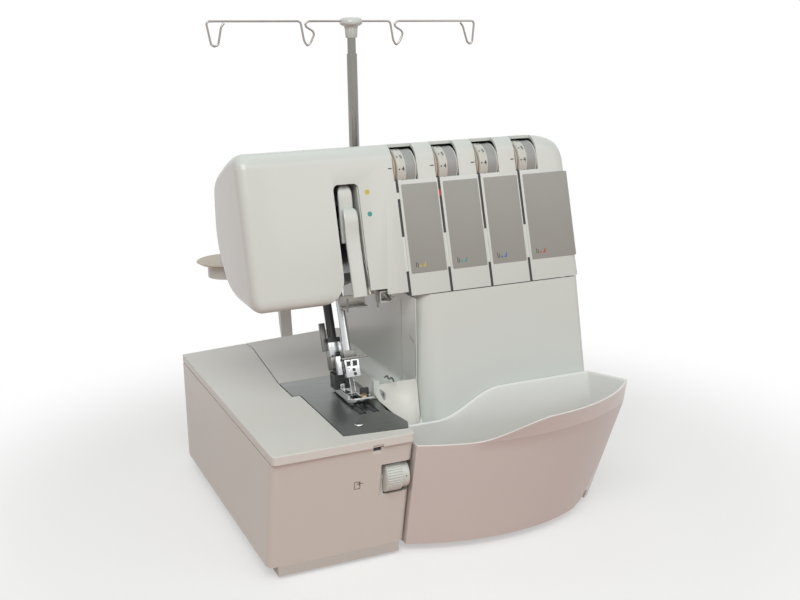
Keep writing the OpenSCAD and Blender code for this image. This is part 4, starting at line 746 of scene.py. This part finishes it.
def make_take_ups():
    front = tongue(FRONT_COVER, 89.8, 101.3, 3.4, 1.6, 0.3)
    piece(front, "take_up_cover_front", "take_ups", "cover_plastic", "take_up_front", smooth=60)
    back = tongue(BACK_COVER, 88.8, 100.3, 3.2, 1.4, 0.45)
    piece(back, "take_up_cover_back", "take_ups", "cover_plastic", "take_up_back", smooth=60)


# ---- tension dials
DIAL_BORE, DRUM_R, DRUM_W = 2.2, 16.4, 7.3
GRIP_R, GRIP_FROM, GRIP_TO = 15.9, 7.35, 15.2
LIP_R, LIP_FROM, LIP_TO = 16.1, 15.25, 16.6
DISC_R, DISC_W = 15.0, 1.3
FIGURE_HEIGHT, FIGURE_BOLD, FIGURE_LIFT = 4.6, 0.022, 0.06
FIGURE_TURN, FIGURE_STEP, FIGURE_IN_FRONT = 10, 36, 4


def turned(profile, x, steps):
    """Solid of revolution on the tension dials' axis."""
    return lathe(profile, (x, DIAL_Y, DIAL_Z), (1, 0, 0), steps)


def figure_angle(k):
    """Angle of figure k above the drum's front."""
    return radians(FIGURE_TURN + (k - FIGURE_IN_FRONT) * FIGURE_STEP)


def flat_figure(text):
    """A figure's outline, filled, with its edges halved so that it bends well."""
    data = bpy.data.curves.new("figure", "FONT")
    data.body = text
    data.size = FIGURE_HEIGHT
    data.resolution_u = 2
    data.offset = FIGURE_HEIGHT * FIGURE_BOLD
    data.align_x, data.align_y = "CENTER", "CENTER"
    o = new_object("figure", data)
    bm = bmesh.new()
    bm.from_mesh(evaluated_mesh(o))
    bpy.data.objects.remove(o)
    bmesh.ops.subdivide_edges(bm, edges=bm.edges, cuts=1)
    return bm


def dial_figures(x):
    """Figures 0 to 9 round a drum, centred on x."""
    figures, r = [], DRUM_R + FIGURE_LIFT
    for k in range(10):
        bm = flat_figure(str(k))
        for v in bm.verts:
            a = figure_angle(k) + v.co.y / DRUM_R
            v.co = row((x + v.co.x, DIAL_Y - r * cos(a), DIAL_Z + r * sin(a)))
        figures.append(bm)
    return join(*figures)


def dial_dots(x):
    """A dot on the drum beside each figure."""
    dots = []
    for k in range(10):
        a = figure_angle(k)
        out = Vector((0, -cos(a), sin(a)))
        dots.append(disc(Vector((x, DIAL_Y, DIAL_Z)) + out * (DRUM_R - 0.02), out, 0.62, 0.12))
    return join(*dots)


def make_tension_dials():
    drum = [(DIAL_BORE, 0), (14.2, 0), (15.6, 0.25), (16.2, 0.8), (DRUM_R, 1.5), (DRUM_R, 7.1),
            (16.1, DRUM_W), (DIAL_BORE, DRUM_W)]
    grip = [(DIAL_BORE, GRIP_FROM), (15.7, GRIP_FROM), (GRIP_R, 7.8), (GRIP_R, 15.0), (15.5, GRIP_TO),
            (DIAL_BORE, GRIP_TO)]
    lip = [(DIAL_BORE, LIP_FROM), (15.8, LIP_FROM), (LIP_R, 15.5), (LIP_R, 16.2), (15.1, LIP_TO),
           (DIAL_BORE, LIP_TO)]
    plate = [(DIAL_BORE, 0), (14.2, 0), (DISC_R, 0.3), (DISC_R, 1.0), (14.2, DISC_W), (DIAL_BORE, DISC_W)]
    for i, slot in enumerate(SLOTS):
        x = slot + 0.8
        dial = f"tension_dial_{i + 1}"
        piece(turned(drum, x, 128), dial + "_drum", dial, "dial_plastic", dial, smooth=40)
        piece(turned(grip, x, 288), dial + "_grip", dial, "dial_plastic", mat="dial_grey", smooth=40)
        piece(turned(lip, x, 128), dial + "_lip", dial, "dial_plastic", smooth=40)
        piece(turned(plate, slot - 1.5, 96), f"tension_disc_{i + 1}", "machine", "disc_plastic", smooth=40)
        printed(dial_figures(x + 4.9), dial + "_figures", dial)
        printed(dial_dots(x + 1.7), dial + "_dots", dial)


# ---- front plates, linings and marks
PLATE_LOW, PLATE_HIGH, SLOT_HALF = 211.8, 279.4, 1.13
PRINT_IN, PRINT_OUT = -0.08, 0.2
PLATE_PRINT_IN, PLATE_PRINT_OUT = -0.36, -0.28
MARK_HOOK = ((6.5, -1.2), (8.4, -1.0), (8.9, 2.2), (8.1, 2.4), (7.5, 0.2), (6.4, -0.2))
# Way right of the mark's left edge, and top, of the two thread lines.
MARK_LINES = ((0.2, 2.8), (1.6, 2.0))


def on_front(outline, low, high):
    """Prism on the head's leaning front: outline in x and z, from low to high millimetres behind the face."""
    return extrude(outline, lambda x, z: (x, head_y(z) + low, z), lambda x, z: (x, head_y(z) + high, z))


def on_plate(outline):
    """Thin print on a grey plate."""
    return on_front(outline, PLATE_PRINT_IN, PLATE_PRINT_OUT)


def make_front_plates():
    """Grey plates right of the tension slots; the last one reaches nearly to the head's end."""
    rights = [slot + DIAL_PITCH - 2.1 for slot in SLOTS[:3]] + [HEAD_X1 - 1.2]
    plates = [on_front(round_rect(slot + 3.2, PLATE_LOW, right, PLATE_HIGH, 0.8, 3), -0.3, 1.0)
              for slot, right in zip(SLOTS, rights)]
    piece(join(*plates), "tension_plates_grey", "machine", "grey_plastic", "tension_plates", edge=0.25)


def make_slot_linings():
    """Strips inside each tension slot: dark ones of painted shade, with a light or red field high in the
    first two, and a dark strip of painted shade in the gap beside each dial."""
    strips = {"dark": [], "light": [], "red": []}
    for i, slot in enumerate(SLOTS):
        # top, low end and tone of each strip; the dark tone is painted shade
        bands = [(283, 240.5, "dark")]
        if i < 2:
            bands = [(283, 273.6, "dark"), (273.4, 268.5, ("light", "red")[i]), (268.3, 240.5, "dark")]
        bands += [(240, 213.9, "light"), (213.7, 195.5, "dark")]
        for top, low, tone in bands:
            strips[tone].append(on_front(rect(slot - SLOT_HALF, low, slot + SLOT_HALF, top), 0.5, 4.0))
        # painted shade in the gap between the window's left edge and the dial
        strips["dark"].append(on_front(rect(slot - 1.85, 282.8, slot - 0.6, 307), 4.5, 9))
    printed(join(*strips["dark"]), "slot_painted_shade")
    piece(join(*strips["light"]), "slot_linings_light", "machine", "cover_plastic")
    piece(join(*strips["red"]), "slot_lining_red", "machine", "cover_plastic", mat="mark_red")


def make_thread_marks():
    """Small threading marks low on each plate, an index line left of each dial and two coloured dots."""
    for i, (slot, colour) in enumerate(zip(SLOTS, MARKS)):
        x, z = slot + 7.5, 217.5
        hook = on_plate([(x + dx, z + dz) for dx, dz in MARK_HOOK])
        bead = on_plate(round_rect(x + 3.4, z - 1.2, x + 5.0, z + 0.4, 0.7, 3))
        piece(join(hook, bead), f"thread_mark_{i + 1}", "machine", "grey_plastic", mat=colour)
        lines = [on_plate(rect(x + dx, z - 1.3, x + dx + 0.5, z + top)) for dx, top in MARK_LINES]
        printed(join(*lines), f"thread_lines_{i + 1}", slot="grey_plastic")
        index = on_front(rect(slot - 6.0, 291.6, slot - 2.9, 292.4), PRINT_IN, PRINT_OUT)
        printed(index, f"dial_index_{i + 1}")
    for k, (z, colour) in enumerate(((276.0, "mark_yellow"), (259.6, "mark_teal"))):
        dot = on_front(arc(111.3, z, 1.9, 0, 345, 23), PRINT_IN, PRINT_OUT)
        piece(dot, f"thread_dot_{k + 1}", "machine", "cover_plastic", mat=colour)


# ---- needle clamp
BAR_X, BAR_Y, BAR_Z = 95.2, 84, 111.4
BAR_SIN, BAR_COS = sin(radians(20)), cos(radians(20))
CLAMP_FRONT, CLAMP_TOP = -6, 31


def on_bar(x, y, z):
    """Point of the leaning needle bar's frame: z runs up the bar from the needle's tip, -y to the front."""
    return BAR_X + x, BAR_Y + y * BAR_COS + z * BAR_SIN, BAR_Z - y * BAR_SIN + z * BAR_COS


def bar_block(low, high):
    """Box between two corners in the needle bar's frame."""
    outline = rect(*low[:2], *high[:2])
    return extrude(outline, lambda x, y: on_bar(x, y, low[2]), lambda x, y: on_bar(x, y, high[2]))


def bar_disc(x, z, r):
    """Flat round mark on the clamp's front face."""
    return disc(on_bar(x, CLAMP_FRONT, z), (0, -BAR_COS, BAR_SIN), r, 0.15, 18)


# Each part's edge rounding, material and boxes, as corners in the needle bar's frame.
CLAMP_PARTS = {
    "clamp_plate": (0.25, "dull_steel", ((-7, -6.4, 31.1), (8.2, 4.2, 33))),
    "clamp_arm": (0.2, "dull_steel", ((7.6, -4.8, 31.3), (15.4, -3.4, 32.5)),
                  ((11, -4.8, 31.3), (12.2, -3.4, 34))),
    "clamp_collar": (0.4, "dull_steel", ((-5, -4.6, 33), (6, 4, 38.5))),
    "clamp_guard": (0.4, "steel", ((-11.2, -3.2, 20), (-7.4, 1.4, 35))),
}


def make_needle_clamp():
    """The block that holds the needles, the parts round it, painted shade for its two square holes, and round
    marks, the larger two its screws.
    """
    gap = bar_block((-0.6, CLAMP_FRONT - 1, 25.2), (0.2, -4.4, CLAMP_TOP + 1))
    piece(bar_block((-5.6, CLAMP_FRONT, 17), (6.4, 4, CLAMP_TOP)), "clamp_block", "needle_bar", "steel",
          "needle_clamp", cutters=[gap], edge=0.5)
    for name, (edge, mat, *boxes) in CLAMP_PARTS.items():
        solid = join(*(bar_block(*corners) for corners in boxes))
        piece(solid, name, "needle_bar", "steel", mat=mat, edge=edge)
    # these square blocks are painted shade for the clamp's two square holes; the larger round marks are its
    # screws
    screws = [bar_block((-4.2, -6.7, 26), (-1.2, -5.9, 29.8)),
              bar_block((0.8, -6.7, 25.6), (4.4, -5.9, 29.9))]
    marks = [bar_disc(1.2, 22.6, 1.35), bar_disc(1.8, 19.2, 1.4), bar_disc(-2.8, 24.2, 0.5)]
    printed(join(*screws, *marks), "clamp_painted_hole_shade_and_screws", "needle_bar", "steel")


# ---- presser bar and foot
# The presser bar lies this far from the needle bar, in that bar's frame.
PRESSER_DX, PRESSER_DY = -5.6, 15.8
PRESSER_PARTS = (("presser_holder", "steel", 0.5, (-5.3, -5.1, 35.5), (5.3, 6, 47.5)),
                 ("presser_step", "dull_steel", 0.5, (-5.2, -5.0, 26.0), (3.4, 5.9, 35.4)),
                 ("presser_side_plate", "dull_steel", 0.4, (-8.6, 1.5, 41), (-3.9, 4.6, 64)))


def make_presser_holder():
    """The foot's holder at the end of the presser bar, in two steps, with a spring plate beside it."""
    for name, mat, edge, *corners in PRESSER_PARTS:
        low, high = [(x + PRESSER_DX, y + PRESSER_DY, z) for x, y, z in corners]
        piece(bar_block(low, high), name, "presser_bar", "black_steel", mat=mat, edge=edge)


# The foot's sole from back to front: y, left x, right x, underside z, thickness. Its toe turns up.
SOLE = ((121, 88.5, 99, 112.6, 1.0), (118, 87.8, 101, 110.9, 2.0), (104, 87.5, 106, 110.5, 2.6),
        (90, 87.5, 109.2, 110.5, 2.8), (78, 87.5, 109.5, 110.5, 3.2), (73, 88.2, 109.2, 111.4, 3.6),
        (70, 90, 107.6, 113.0, 3.0), (68.6, 92.5, 105.5, 114.6, 1.6))


def make_foot():
    """Presser foot: sole with two slots, rails and hinge block, pin, dark bar and brass screw."""
    rings = [[(x0, y, z), (x1, y, z), (x1, y, z + thick), (x0, y, z + thick)] for y, x0, x1, z, thick in SOLE]
    slots = [block((91.5, 75, 109), (99.0, 92, 120)), block((106.9, 66, 109), (107.9, 82, 120))]
    piece(loft(rings), "foot_sole", "presser_foot", "steel", "presser_foot", cutters=slots,
          edge=0.5, segments=3)
    left_rail = block((87.6, 78, 112), (89.0, 112, 116.5))
    right_rail = block((99.4, 78, 112), (100.8, 92, 113.5))
    hinge = block((89.4, 100, 112), (93.8, 108, 119.4))
    piece(join(left_rail, right_rail, hinge), "foot_rails", "presser_foot", "steel", edge=0.4)
    piece(tube([(85.2, 104, 117.8), (97.2, 104, 117.8)], 1.5), "foot_pin", "presser_foot", "steel")
    bar = block((102, 87, 113), (109, 90, 117.2))
    piece(bar, "foot_bar", "presser_foot", "steel", mat="dark_marks_and_painted_shade", edge=0.4)
    head = [(0.05, 0), (2.3, 0), (2.3, 1.5), (1.8, 2.1), (0.05, 2.2)]
    piece(lathe(head, (101.6, 79.5, 113.4), (-0.1, -0.4, 1), 24), "foot_screw", "presser_foot", "steel",
          mat="brass", smooth=40)


# ---- stitch plate's slits as painted shade, and its screw
PLATE_TOP = 109.0


def make_plate_details():
    # the slits are not cut: thin dark blocks paint the shade in them
    slits = [block((x, 60.5, PLATE_TOP + 0.02), (x + 0.8, 76, PLATE_TOP + 0.14)) for x in (95.2, 98.8, 102.6)]
    printed(join(*slits), "plate_slits_painted_shade", slot="stitch_steel")
    x, y, z = 79.5, 35, PLATE_TOP + 0.55
    head = lathe([(0.05, 0), (3.3, 0), (3.3, 0.25), (2.6, 0.7), (0.05, 0.75)], (x, y, z), (0, 0, 1), 32)
    slot = block((x - 4.5, y - 0.5, z + 0.35), (x + 4.5, y + 0.5, z + 1.45))
    piece(head, "plate_screw", "machine", "steel", mat="dull_steel", cutters=[slot], smooth=40)


# ---- thread guides and take-up slot
def bent_wire(radius, *points):
    return tube(smooth_path(points), radius, 8)


def make_thread_guides():
    """Guide plate under the take-up slot, the box beside it and their hooks."""
    sole = block((85.5, 77, 187.4), (106.3, 85, 188.4))
    wall = block((85.5, 83.8, 188.4), (106.3, 85, 196.5))
    piece(join(sole, wall), "thread_plate", "machine", "steel", "thread_guides", mat="guide_metal", edge=0.3)
    hollow = block((113.8, 60, 193), (121.6, 76, 199.8))
    piece(block((112.6, 68, 191.2), (122.6, 80, 201)), "thread_box", "machine", "steel", mat="guide_metal",
          cutters=[hollow], edge=0.3)
    hooks = [bent_wire(0.5, (114.5, 69, 199.5), (117, 66.5, 196.5), (119.5, 66.5, 193.5), (122.5, 68, 193.8)),
             bent_wire(0.45, (118.5, 69, 199.8), (120, 66, 197.5), (123.5, 65.5, 196.0))]
    pins = [tube([(86.0, 68.5, 198), (85.4, 68.0, 187.8)], 0.8, 10),
            tube([(109.8, 66.5, 199), (109.8, 66.0, 189)], 0.8, 10)]
    piece(join(*hooks, *pins), "thread_hooks", "machine", "steel", mat="dull_steel", smooth=50)


def make_slot_wall():
    """Light inner wall of the take-up slot, and the curved guides in front of it."""
    low, high, near, far = 200, SLOT_TOP, 2.4, 26
    side = [(head_y(z) + back, z) for z, back in ((low, near), (high, near), (high, far), (low, far))]
    piece(prism_x(side, 104.0, 105.2), "slot_wall", "machine", "cover_plastic")
    guides = [bent_wire(0.7, (103.4, 88.5, 240), (103.4, 80, 229.5), (103.4, 70, 216.5), (103.4, 67, 206)),
              bent_wire(0.7, (103.2, 93, 236), (103.2, 86, 225), (103.2, 77, 213), (103.2, 73, 203))]
    piece(join(*guides), "slot_guides", "machine", "steel", mat="dull_steel", smooth=50)


# ---- left end of the looper cover
WING_STEPS = 12
WING_TOP = ((113.0, 88, 118.5), (121, 79, 121.5), (130, 70.5, 124.8), (140, 62, 128))
WING_LOW = ((112.2, 30, 108.6), (118, 33, 101), (128, 42, 93), (140, 54, 86))
WING_SIDE = ((113.0, 88, 118.5), (112.5, 79, 110.5), (112.2, 60, 109.4), (112.2, 30, 108.6))
WING_THICKNESS = Vector((0.4, 1.6, -0.6))


def wing_points():
    """Grid of points over the wing: each row runs from the side edge towards the cover."""
    top, low, side = (smooth_path(line, WING_STEPS // 3) for line in (WING_TOP, WING_LOW, WING_SIDE))
    rows = []
    for k in range(WING_STEPS + 1):
        v = k / WING_STEPS
        shift = side[k] - top[0].lerp(low[0], v)
        rows.append([a.lerp(b, v) + shift * (1 - i / WING_STEPS) ** 1.5
                     for i, (a, b) in enumerate(zip(top, low))])
    return rows


def sheet(rows, thickness):
    """Closed sheet between a grid of points and the same grid moved by thickness."""
    bm = bmesh.new()
    front = [[bm.verts.new(row(p)) for p in line] for line in rows]
    back = [[bm.verts.new(row(p + thickness)) for p in line] for line in rows]
    last, end = len(rows) - 1, len(rows[0]) - 1
    for grid, way in ((front, 1), (back, -1)):
        for a, b in zip(grid, grid[1:]):
            for i in range(end):
                bm.faces.new((a[i], a[i + 1], b[i + 1], b[i])[::way])
    edge = [(0, i) for i in range(end)] + [(k, end) for k in range(last)]
    edge += [(last, i) for i in range(end, 0, -1)] + [(k, 0) for k in range(last, 0, -1)]
    for (a, b), (c, d) in zip(edge, edge[1:] + edge[:1]):
        bm.faces.new((front[a][b], back[a][b], back[c][d], front[c][d]))
    bmesh.ops.recalc_face_normals(bm, faces=bm.faces)
    return bm


def make_cover_wing():
    """Smooth wing of the looper cover down to the stitch plate, with the ledge and clip behind it."""
    wing = sheet(wing_points(), WING_THICKNESS)
    piece(wing, "cover_wing", "looper_cover", "cover_plastic", mat="bed_plastic", smooth=45)
    ledge = [(112.5, 89.4), (140, 89.4), (140, 62.4), (130, 71), (121, 79.5), (113, 88.4)]
    piece(prism_z(ledge, 117.6, 118.4), "cover_ledge", "looper_cover", "cover_plastic")
    waves = ((84.5, 124.8), (80, 127.4), (76, 126.0), (71, 128.6), (66, 127.2))
    clip = bent_wire(0.7, *((122, y, z) for y, z in waves))
    piece(clip, "cover_clip", "looper_cover", "steel", mat="dull_steel", smooth=50)


def make_cover_side():
    """Left side of the cover above the wing, with the curved groove on it as a flat grey mark of painted
    shade.
    """
    face = 139.3
    piece(block((face, 60.8, 126), (face + 0.6, 88.4, 193.5)), "cover_side", "looper_cover", "cover_plastic")
    bend = [(65.4 - 2.8 * cos(a), 153 + 4 * sin(a)) for a in (0.0, 0.4, 0.8, 1.2, 1.57)]
    groove = [(62.6, 130)] + bend + [(68.6, 157.6), (72.5, 160.6), (72.5, 161.6), (65, 158.6), (61.6, 154),
                                     (61.6, 130)]
    piece(prism_x(groove, face - 0.1, face + 0.05), "cover_groove", "looper_cover", "cover_plastic",
          mat="groove_painted_shade")


# ---- cutting width dial
WIDTH_X, WIDTH_Y, WIDTH_Z = 94.5, 17.2, 72.0
WIDTH_RIBS = (0.0, -0.15, -1.0, -0.15)


def width_rib(k, d):
    """Every fourth step is cut in along the grip."""
    return WIDTH_RIBS[k % len(WIDTH_RIBS)] if 0.6 < d < 12.6 else 0.0


def make_width_dial():
    start, axis = (WIDTH_X - 5, WIDTH_Y, WIDTH_Z), (1, 0, 0)
    grip = [(3.2, 0), (11.6, 0), (12.4, 0.5), (12.5, 1.0), (12.5, 12.2), (12.3, 12.9), (3.2, 13)]
    piece(lathe(grip, start, axis, 144, width_rib), "width_dial_grip", "width_dial", "cover_plastic",
          "cutting_width_dial", smooth=40)
    drum = [(3.2, 13), (11, 13), (11.1, 13.3), (11.1, 18.3), (10.7, 18.9), (9.8, 19), (3.2, 19)]
    piece(lathe(drum, start, axis, 96), "width_dial_drum", "width_dial", "cover_plastic", smooth=40)
    out = Vector((0, -cos(radians(6)), sin(radians(6))))
    on_drum = Vector((WIDTH_X + 11, WIDTH_Y, WIDTH_Z)) + out * 11.1
    printed(disc(on_drum, out, 0.55, 0.1), "width_dial_dot", "width_dial")


# ---- front of the bed
BED_TOP, BED_EDGE_Y, BED_LEAN = 101.3, 2.4, tan(radians(14))


def bed_y(z):
    """Front of the bed at a height."""
    return BED_EDGE_Y + (BED_TOP - z) * BED_LEAN


def on_bed(x0, z0, x1, z1):
    """Thin bar of print on the bed's front."""
    bar = rect(x0, z0, x1, z1)
    return extrude(bar, lambda x, z: (x, bed_y(z) - 0.1, z), lambda x, z: (x, bed_y(z) + 0.1, z))


def make_bed_details():
    """The lid's release button in its frame, a generic symbol, and the side of the width dial's window."""
    piece(block((78.5, 4.0, 98.9), (83.5, 12.5, 101.0)), "release_button", "lid_release", "black_plastic",
          "lid_release", edge=0.3)
    piece(block((77.9, 3.7, 96.3), (84.1, 12, 98.6)), "release_frame", "machine", "bed_plastic")
    page = [on_bed(64.6, 68, 65.0, 74.6), on_bed(64.6, 68, 69.4, 68.4), on_bed(69.0, 68, 69.4, 72),
            on_bed(64.6, 74.2, 67.4, 74.6)]
    pointer = [on_bed(66.6, 72.2, 71.4, 72.7), on_bed(68.7, 70.4, 69.2, 74.8), on_bed(67.4, 73.4, 68.8, 73.9)]
    printed(join(*page, *pointer), "bed_symbol")
    piece(block((86.2, 14.8, 58.5), (89.2, 26, 86)), "width_dial_lining", "machine", "bed_plastic")


# ---- thread stand
MAST_X, MAST_Y, STEM_FROM, TREE_Z, TREE_TILT = 161.6, 239.5, 304, 402.0, 0.019
TREE_LEFT, TREE_RIGHT = MAST_X - 129.5, MAST_X + 121.5
# Hooks of the wire: the way right and up from each hook's start, or from the wire's end.
MIDDLE_HOOK = ((0, 0), (2.8, -17), (5.6, -21), (8.6, -18.5), (12.2, -11.5), (11.2, -8.4), (5.0, -4.8),
               (4.2, -2.4), (7.4, 0))
LEFT_HOOK = ((15.2, -1.6), (12.5, -4.5), (9.2, -19.4), (5.6, -20.8), (3.0, -19.0), (0, -2), (1.5, 0))
RIGHT_HOOK = ((-1.5, 0), (0, -2), (-1.8, -18.6), (-4.0, -20.8), (-7.0, -19.0), (-11.5, -4.5), (-14, -1.6))


def make_thread_tree():
    """The wire with its four hooks, the mast's upper tube and the cap that holds the wire."""
    hooks = ((TREE_LEFT, LEFT_HOOK), (114.8, MIDDLE_HOOK), (199.0, MIDDLE_HOOK), (TREE_RIGHT, RIGHT_HOOK))
    line = [(start + x, z) for start, hook in hooks for x, z in hook]
    path = round_path([(x, MAST_Y, TREE_Z + z - (x - MAST_X) * TREE_TILT) for x, z in line], 3.0)
    wire = tube(path, 0.92, 12)
    piece(wire, "tree_wire", "thread_tree", "mast_metal", "thread_tree", mat="wire", smooth=60)
    stem = tube([(MAST_X, MAST_Y, STEM_FROM), (MAST_X, MAST_Y, TREE_Z - 8)], 3.75, 48)
    piece(stem, "mast_top_tube", "thread_tree", "mast_metal", smooth=50)
    cap = [(0.5, -14.2), (4.9, -14.2), (5.3, -13.6), (5.7, -6.6), (6.2, -4.6), (8.6, -3.6), (9.9, -2.4),
           (10.2, -0.6), (9.8, 1.2), (8.2, 2.6), (5.4, 3.2), (0.5, 3.35)]
    cap = lathe(cap, (MAST_X, MAST_Y, TREE_Z), (0, 0, 1), 72)
    piece(cap, "tree_cap", "thread_tree", "cover_plastic", smooth=50)


make_head()
make_tray()
make_take_ups()
make_tension_dials()
make_front_plates()
make_slot_linings()
make_thread_marks()
make_needle_clamp()
make_presser_holder()
make_foot()
make_plate_details()
make_thread_guides()
make_slot_wall()
make_cover_wing()
make_cover_side()
make_width_dial()
make_bed_details()
make_thread_tree()


# ---- stage and light
def white_ray(tree):
    """1 for camera, glossy and transmission rays, which see the plain white backdrop."""
    rays = tree.nodes.new("ShaderNodeLightPath")
    seen = rays.outputs["Is Camera Ray"]
    for kind in ("Is Glossy Ray", "Is Transmission Ray"):
        seen = combine(tree, "MAXIMUM", seen, rays.outputs[kind])
    return seen


# Floor as the machine's plastics see it, with the room's warm bounce, and as the camera sees it.
FLOOR_BOUNCE, FLOOR_SEEN = (0.62, 0.38, 0.33), (0.93, 0.925, 0.92)
# Metres from the middle over which the seen floor turns plain white, and how white it is within them.
WHITE_FROM, WHITE_TO, NEAR_WHITE = 0.24, 0.55, 0.45


def make_stage():
    bpy.ops.mesh.primitive_plane_add(size=12, location=(0, 0, 0))
    floor = bpy.context.object
    floor.name = "floor"
    m = bpy.data.materials.new("floor")
    m.use_nodes = True
    tree = m.node_tree
    shader = tree.nodes["Principled BSDF"]
    shader.inputs["Roughness"].default_value = 0.9
    shader.inputs["Specular IOR Level"].default_value = 0.1
    seen = white_ray(tree)
    link(blend_colours(tree, seen, FLOOR_BOUNCE, FLOOR_SEEN), shader.inputs["Base Color"])
    away = node(tree, "ShaderNodeVectorMath", operation="LENGTH")
    link(tree.nodes.new("ShaderNodeTexCoord").outputs["Object"], away.inputs[0])
    far = spread(tree, away.outputs["Value"], WHITE_FROM, WHITE_TO, NEAR_WHITE, 1.0, curve="SMOOTHERSTEP")
    plain = node(tree, "ShaderNodeEmission", Color=(1, 1, 1, 1), Strength=1.0)
    mix_shaders(tree, combine(tree, "MULTIPLY", far, seen), shader.outputs["BSDF"], plain.outputs["Emission"],
                "Material Output")
    floor.data.materials.append(m)


def area_light(name, place, aim, size, power, colour=(1, 1, 1)):
    data = bpy.data.lights.new(name, "AREA")
    data.shape = "RECTANGLE"
    data.size, data.size_y = size
    data.energy = power
    data.color = colour
    o = new_object(name, data)
    o.location = place
    o.rotation_euler = (Vector(aim) - Vector(place)).to_track_quat("-Z", "Y").to_euler()


def make_world():
    """Weak white light from all sides, and plain white for the rays that see the backdrop."""
    world = bpy.data.worlds.new("world")
    bpy.context.scene.world = world
    world.use_nodes = True
    tree = world.node_tree
    light = tree.nodes["Background"]
    light.inputs["Color"].default_value = (1, 1, 1, 1)
    light.inputs["Strength"].default_value = 0.32
    plain = node(tree, "ShaderNodeBackground", Color=(1, 1, 1, 1), Strength=1.0)
    mix_shaders(tree, white_ray(tree), light.outputs[0], plain.outputs[0], "World Output")


make_stage()
area_light("key", (-0.75, -1.38, 1.72), (0, 0, 0.15), (1.5, 1.1), 25.5, (0.965, 1.0, 0.97))
area_light("fill", (0.95, -1.5, 1.25), (0, 0, 0.15), (1.4, 1.2), 6.5, (0.975, 1.0, 0.985))
area_light("top", (0.0, 0.5, 1.9), (0, 0, 0.25), (1.2, 0.8), 1.6)
make_world()
bpy.context.scene.view_settings.view_transform = "Standard"
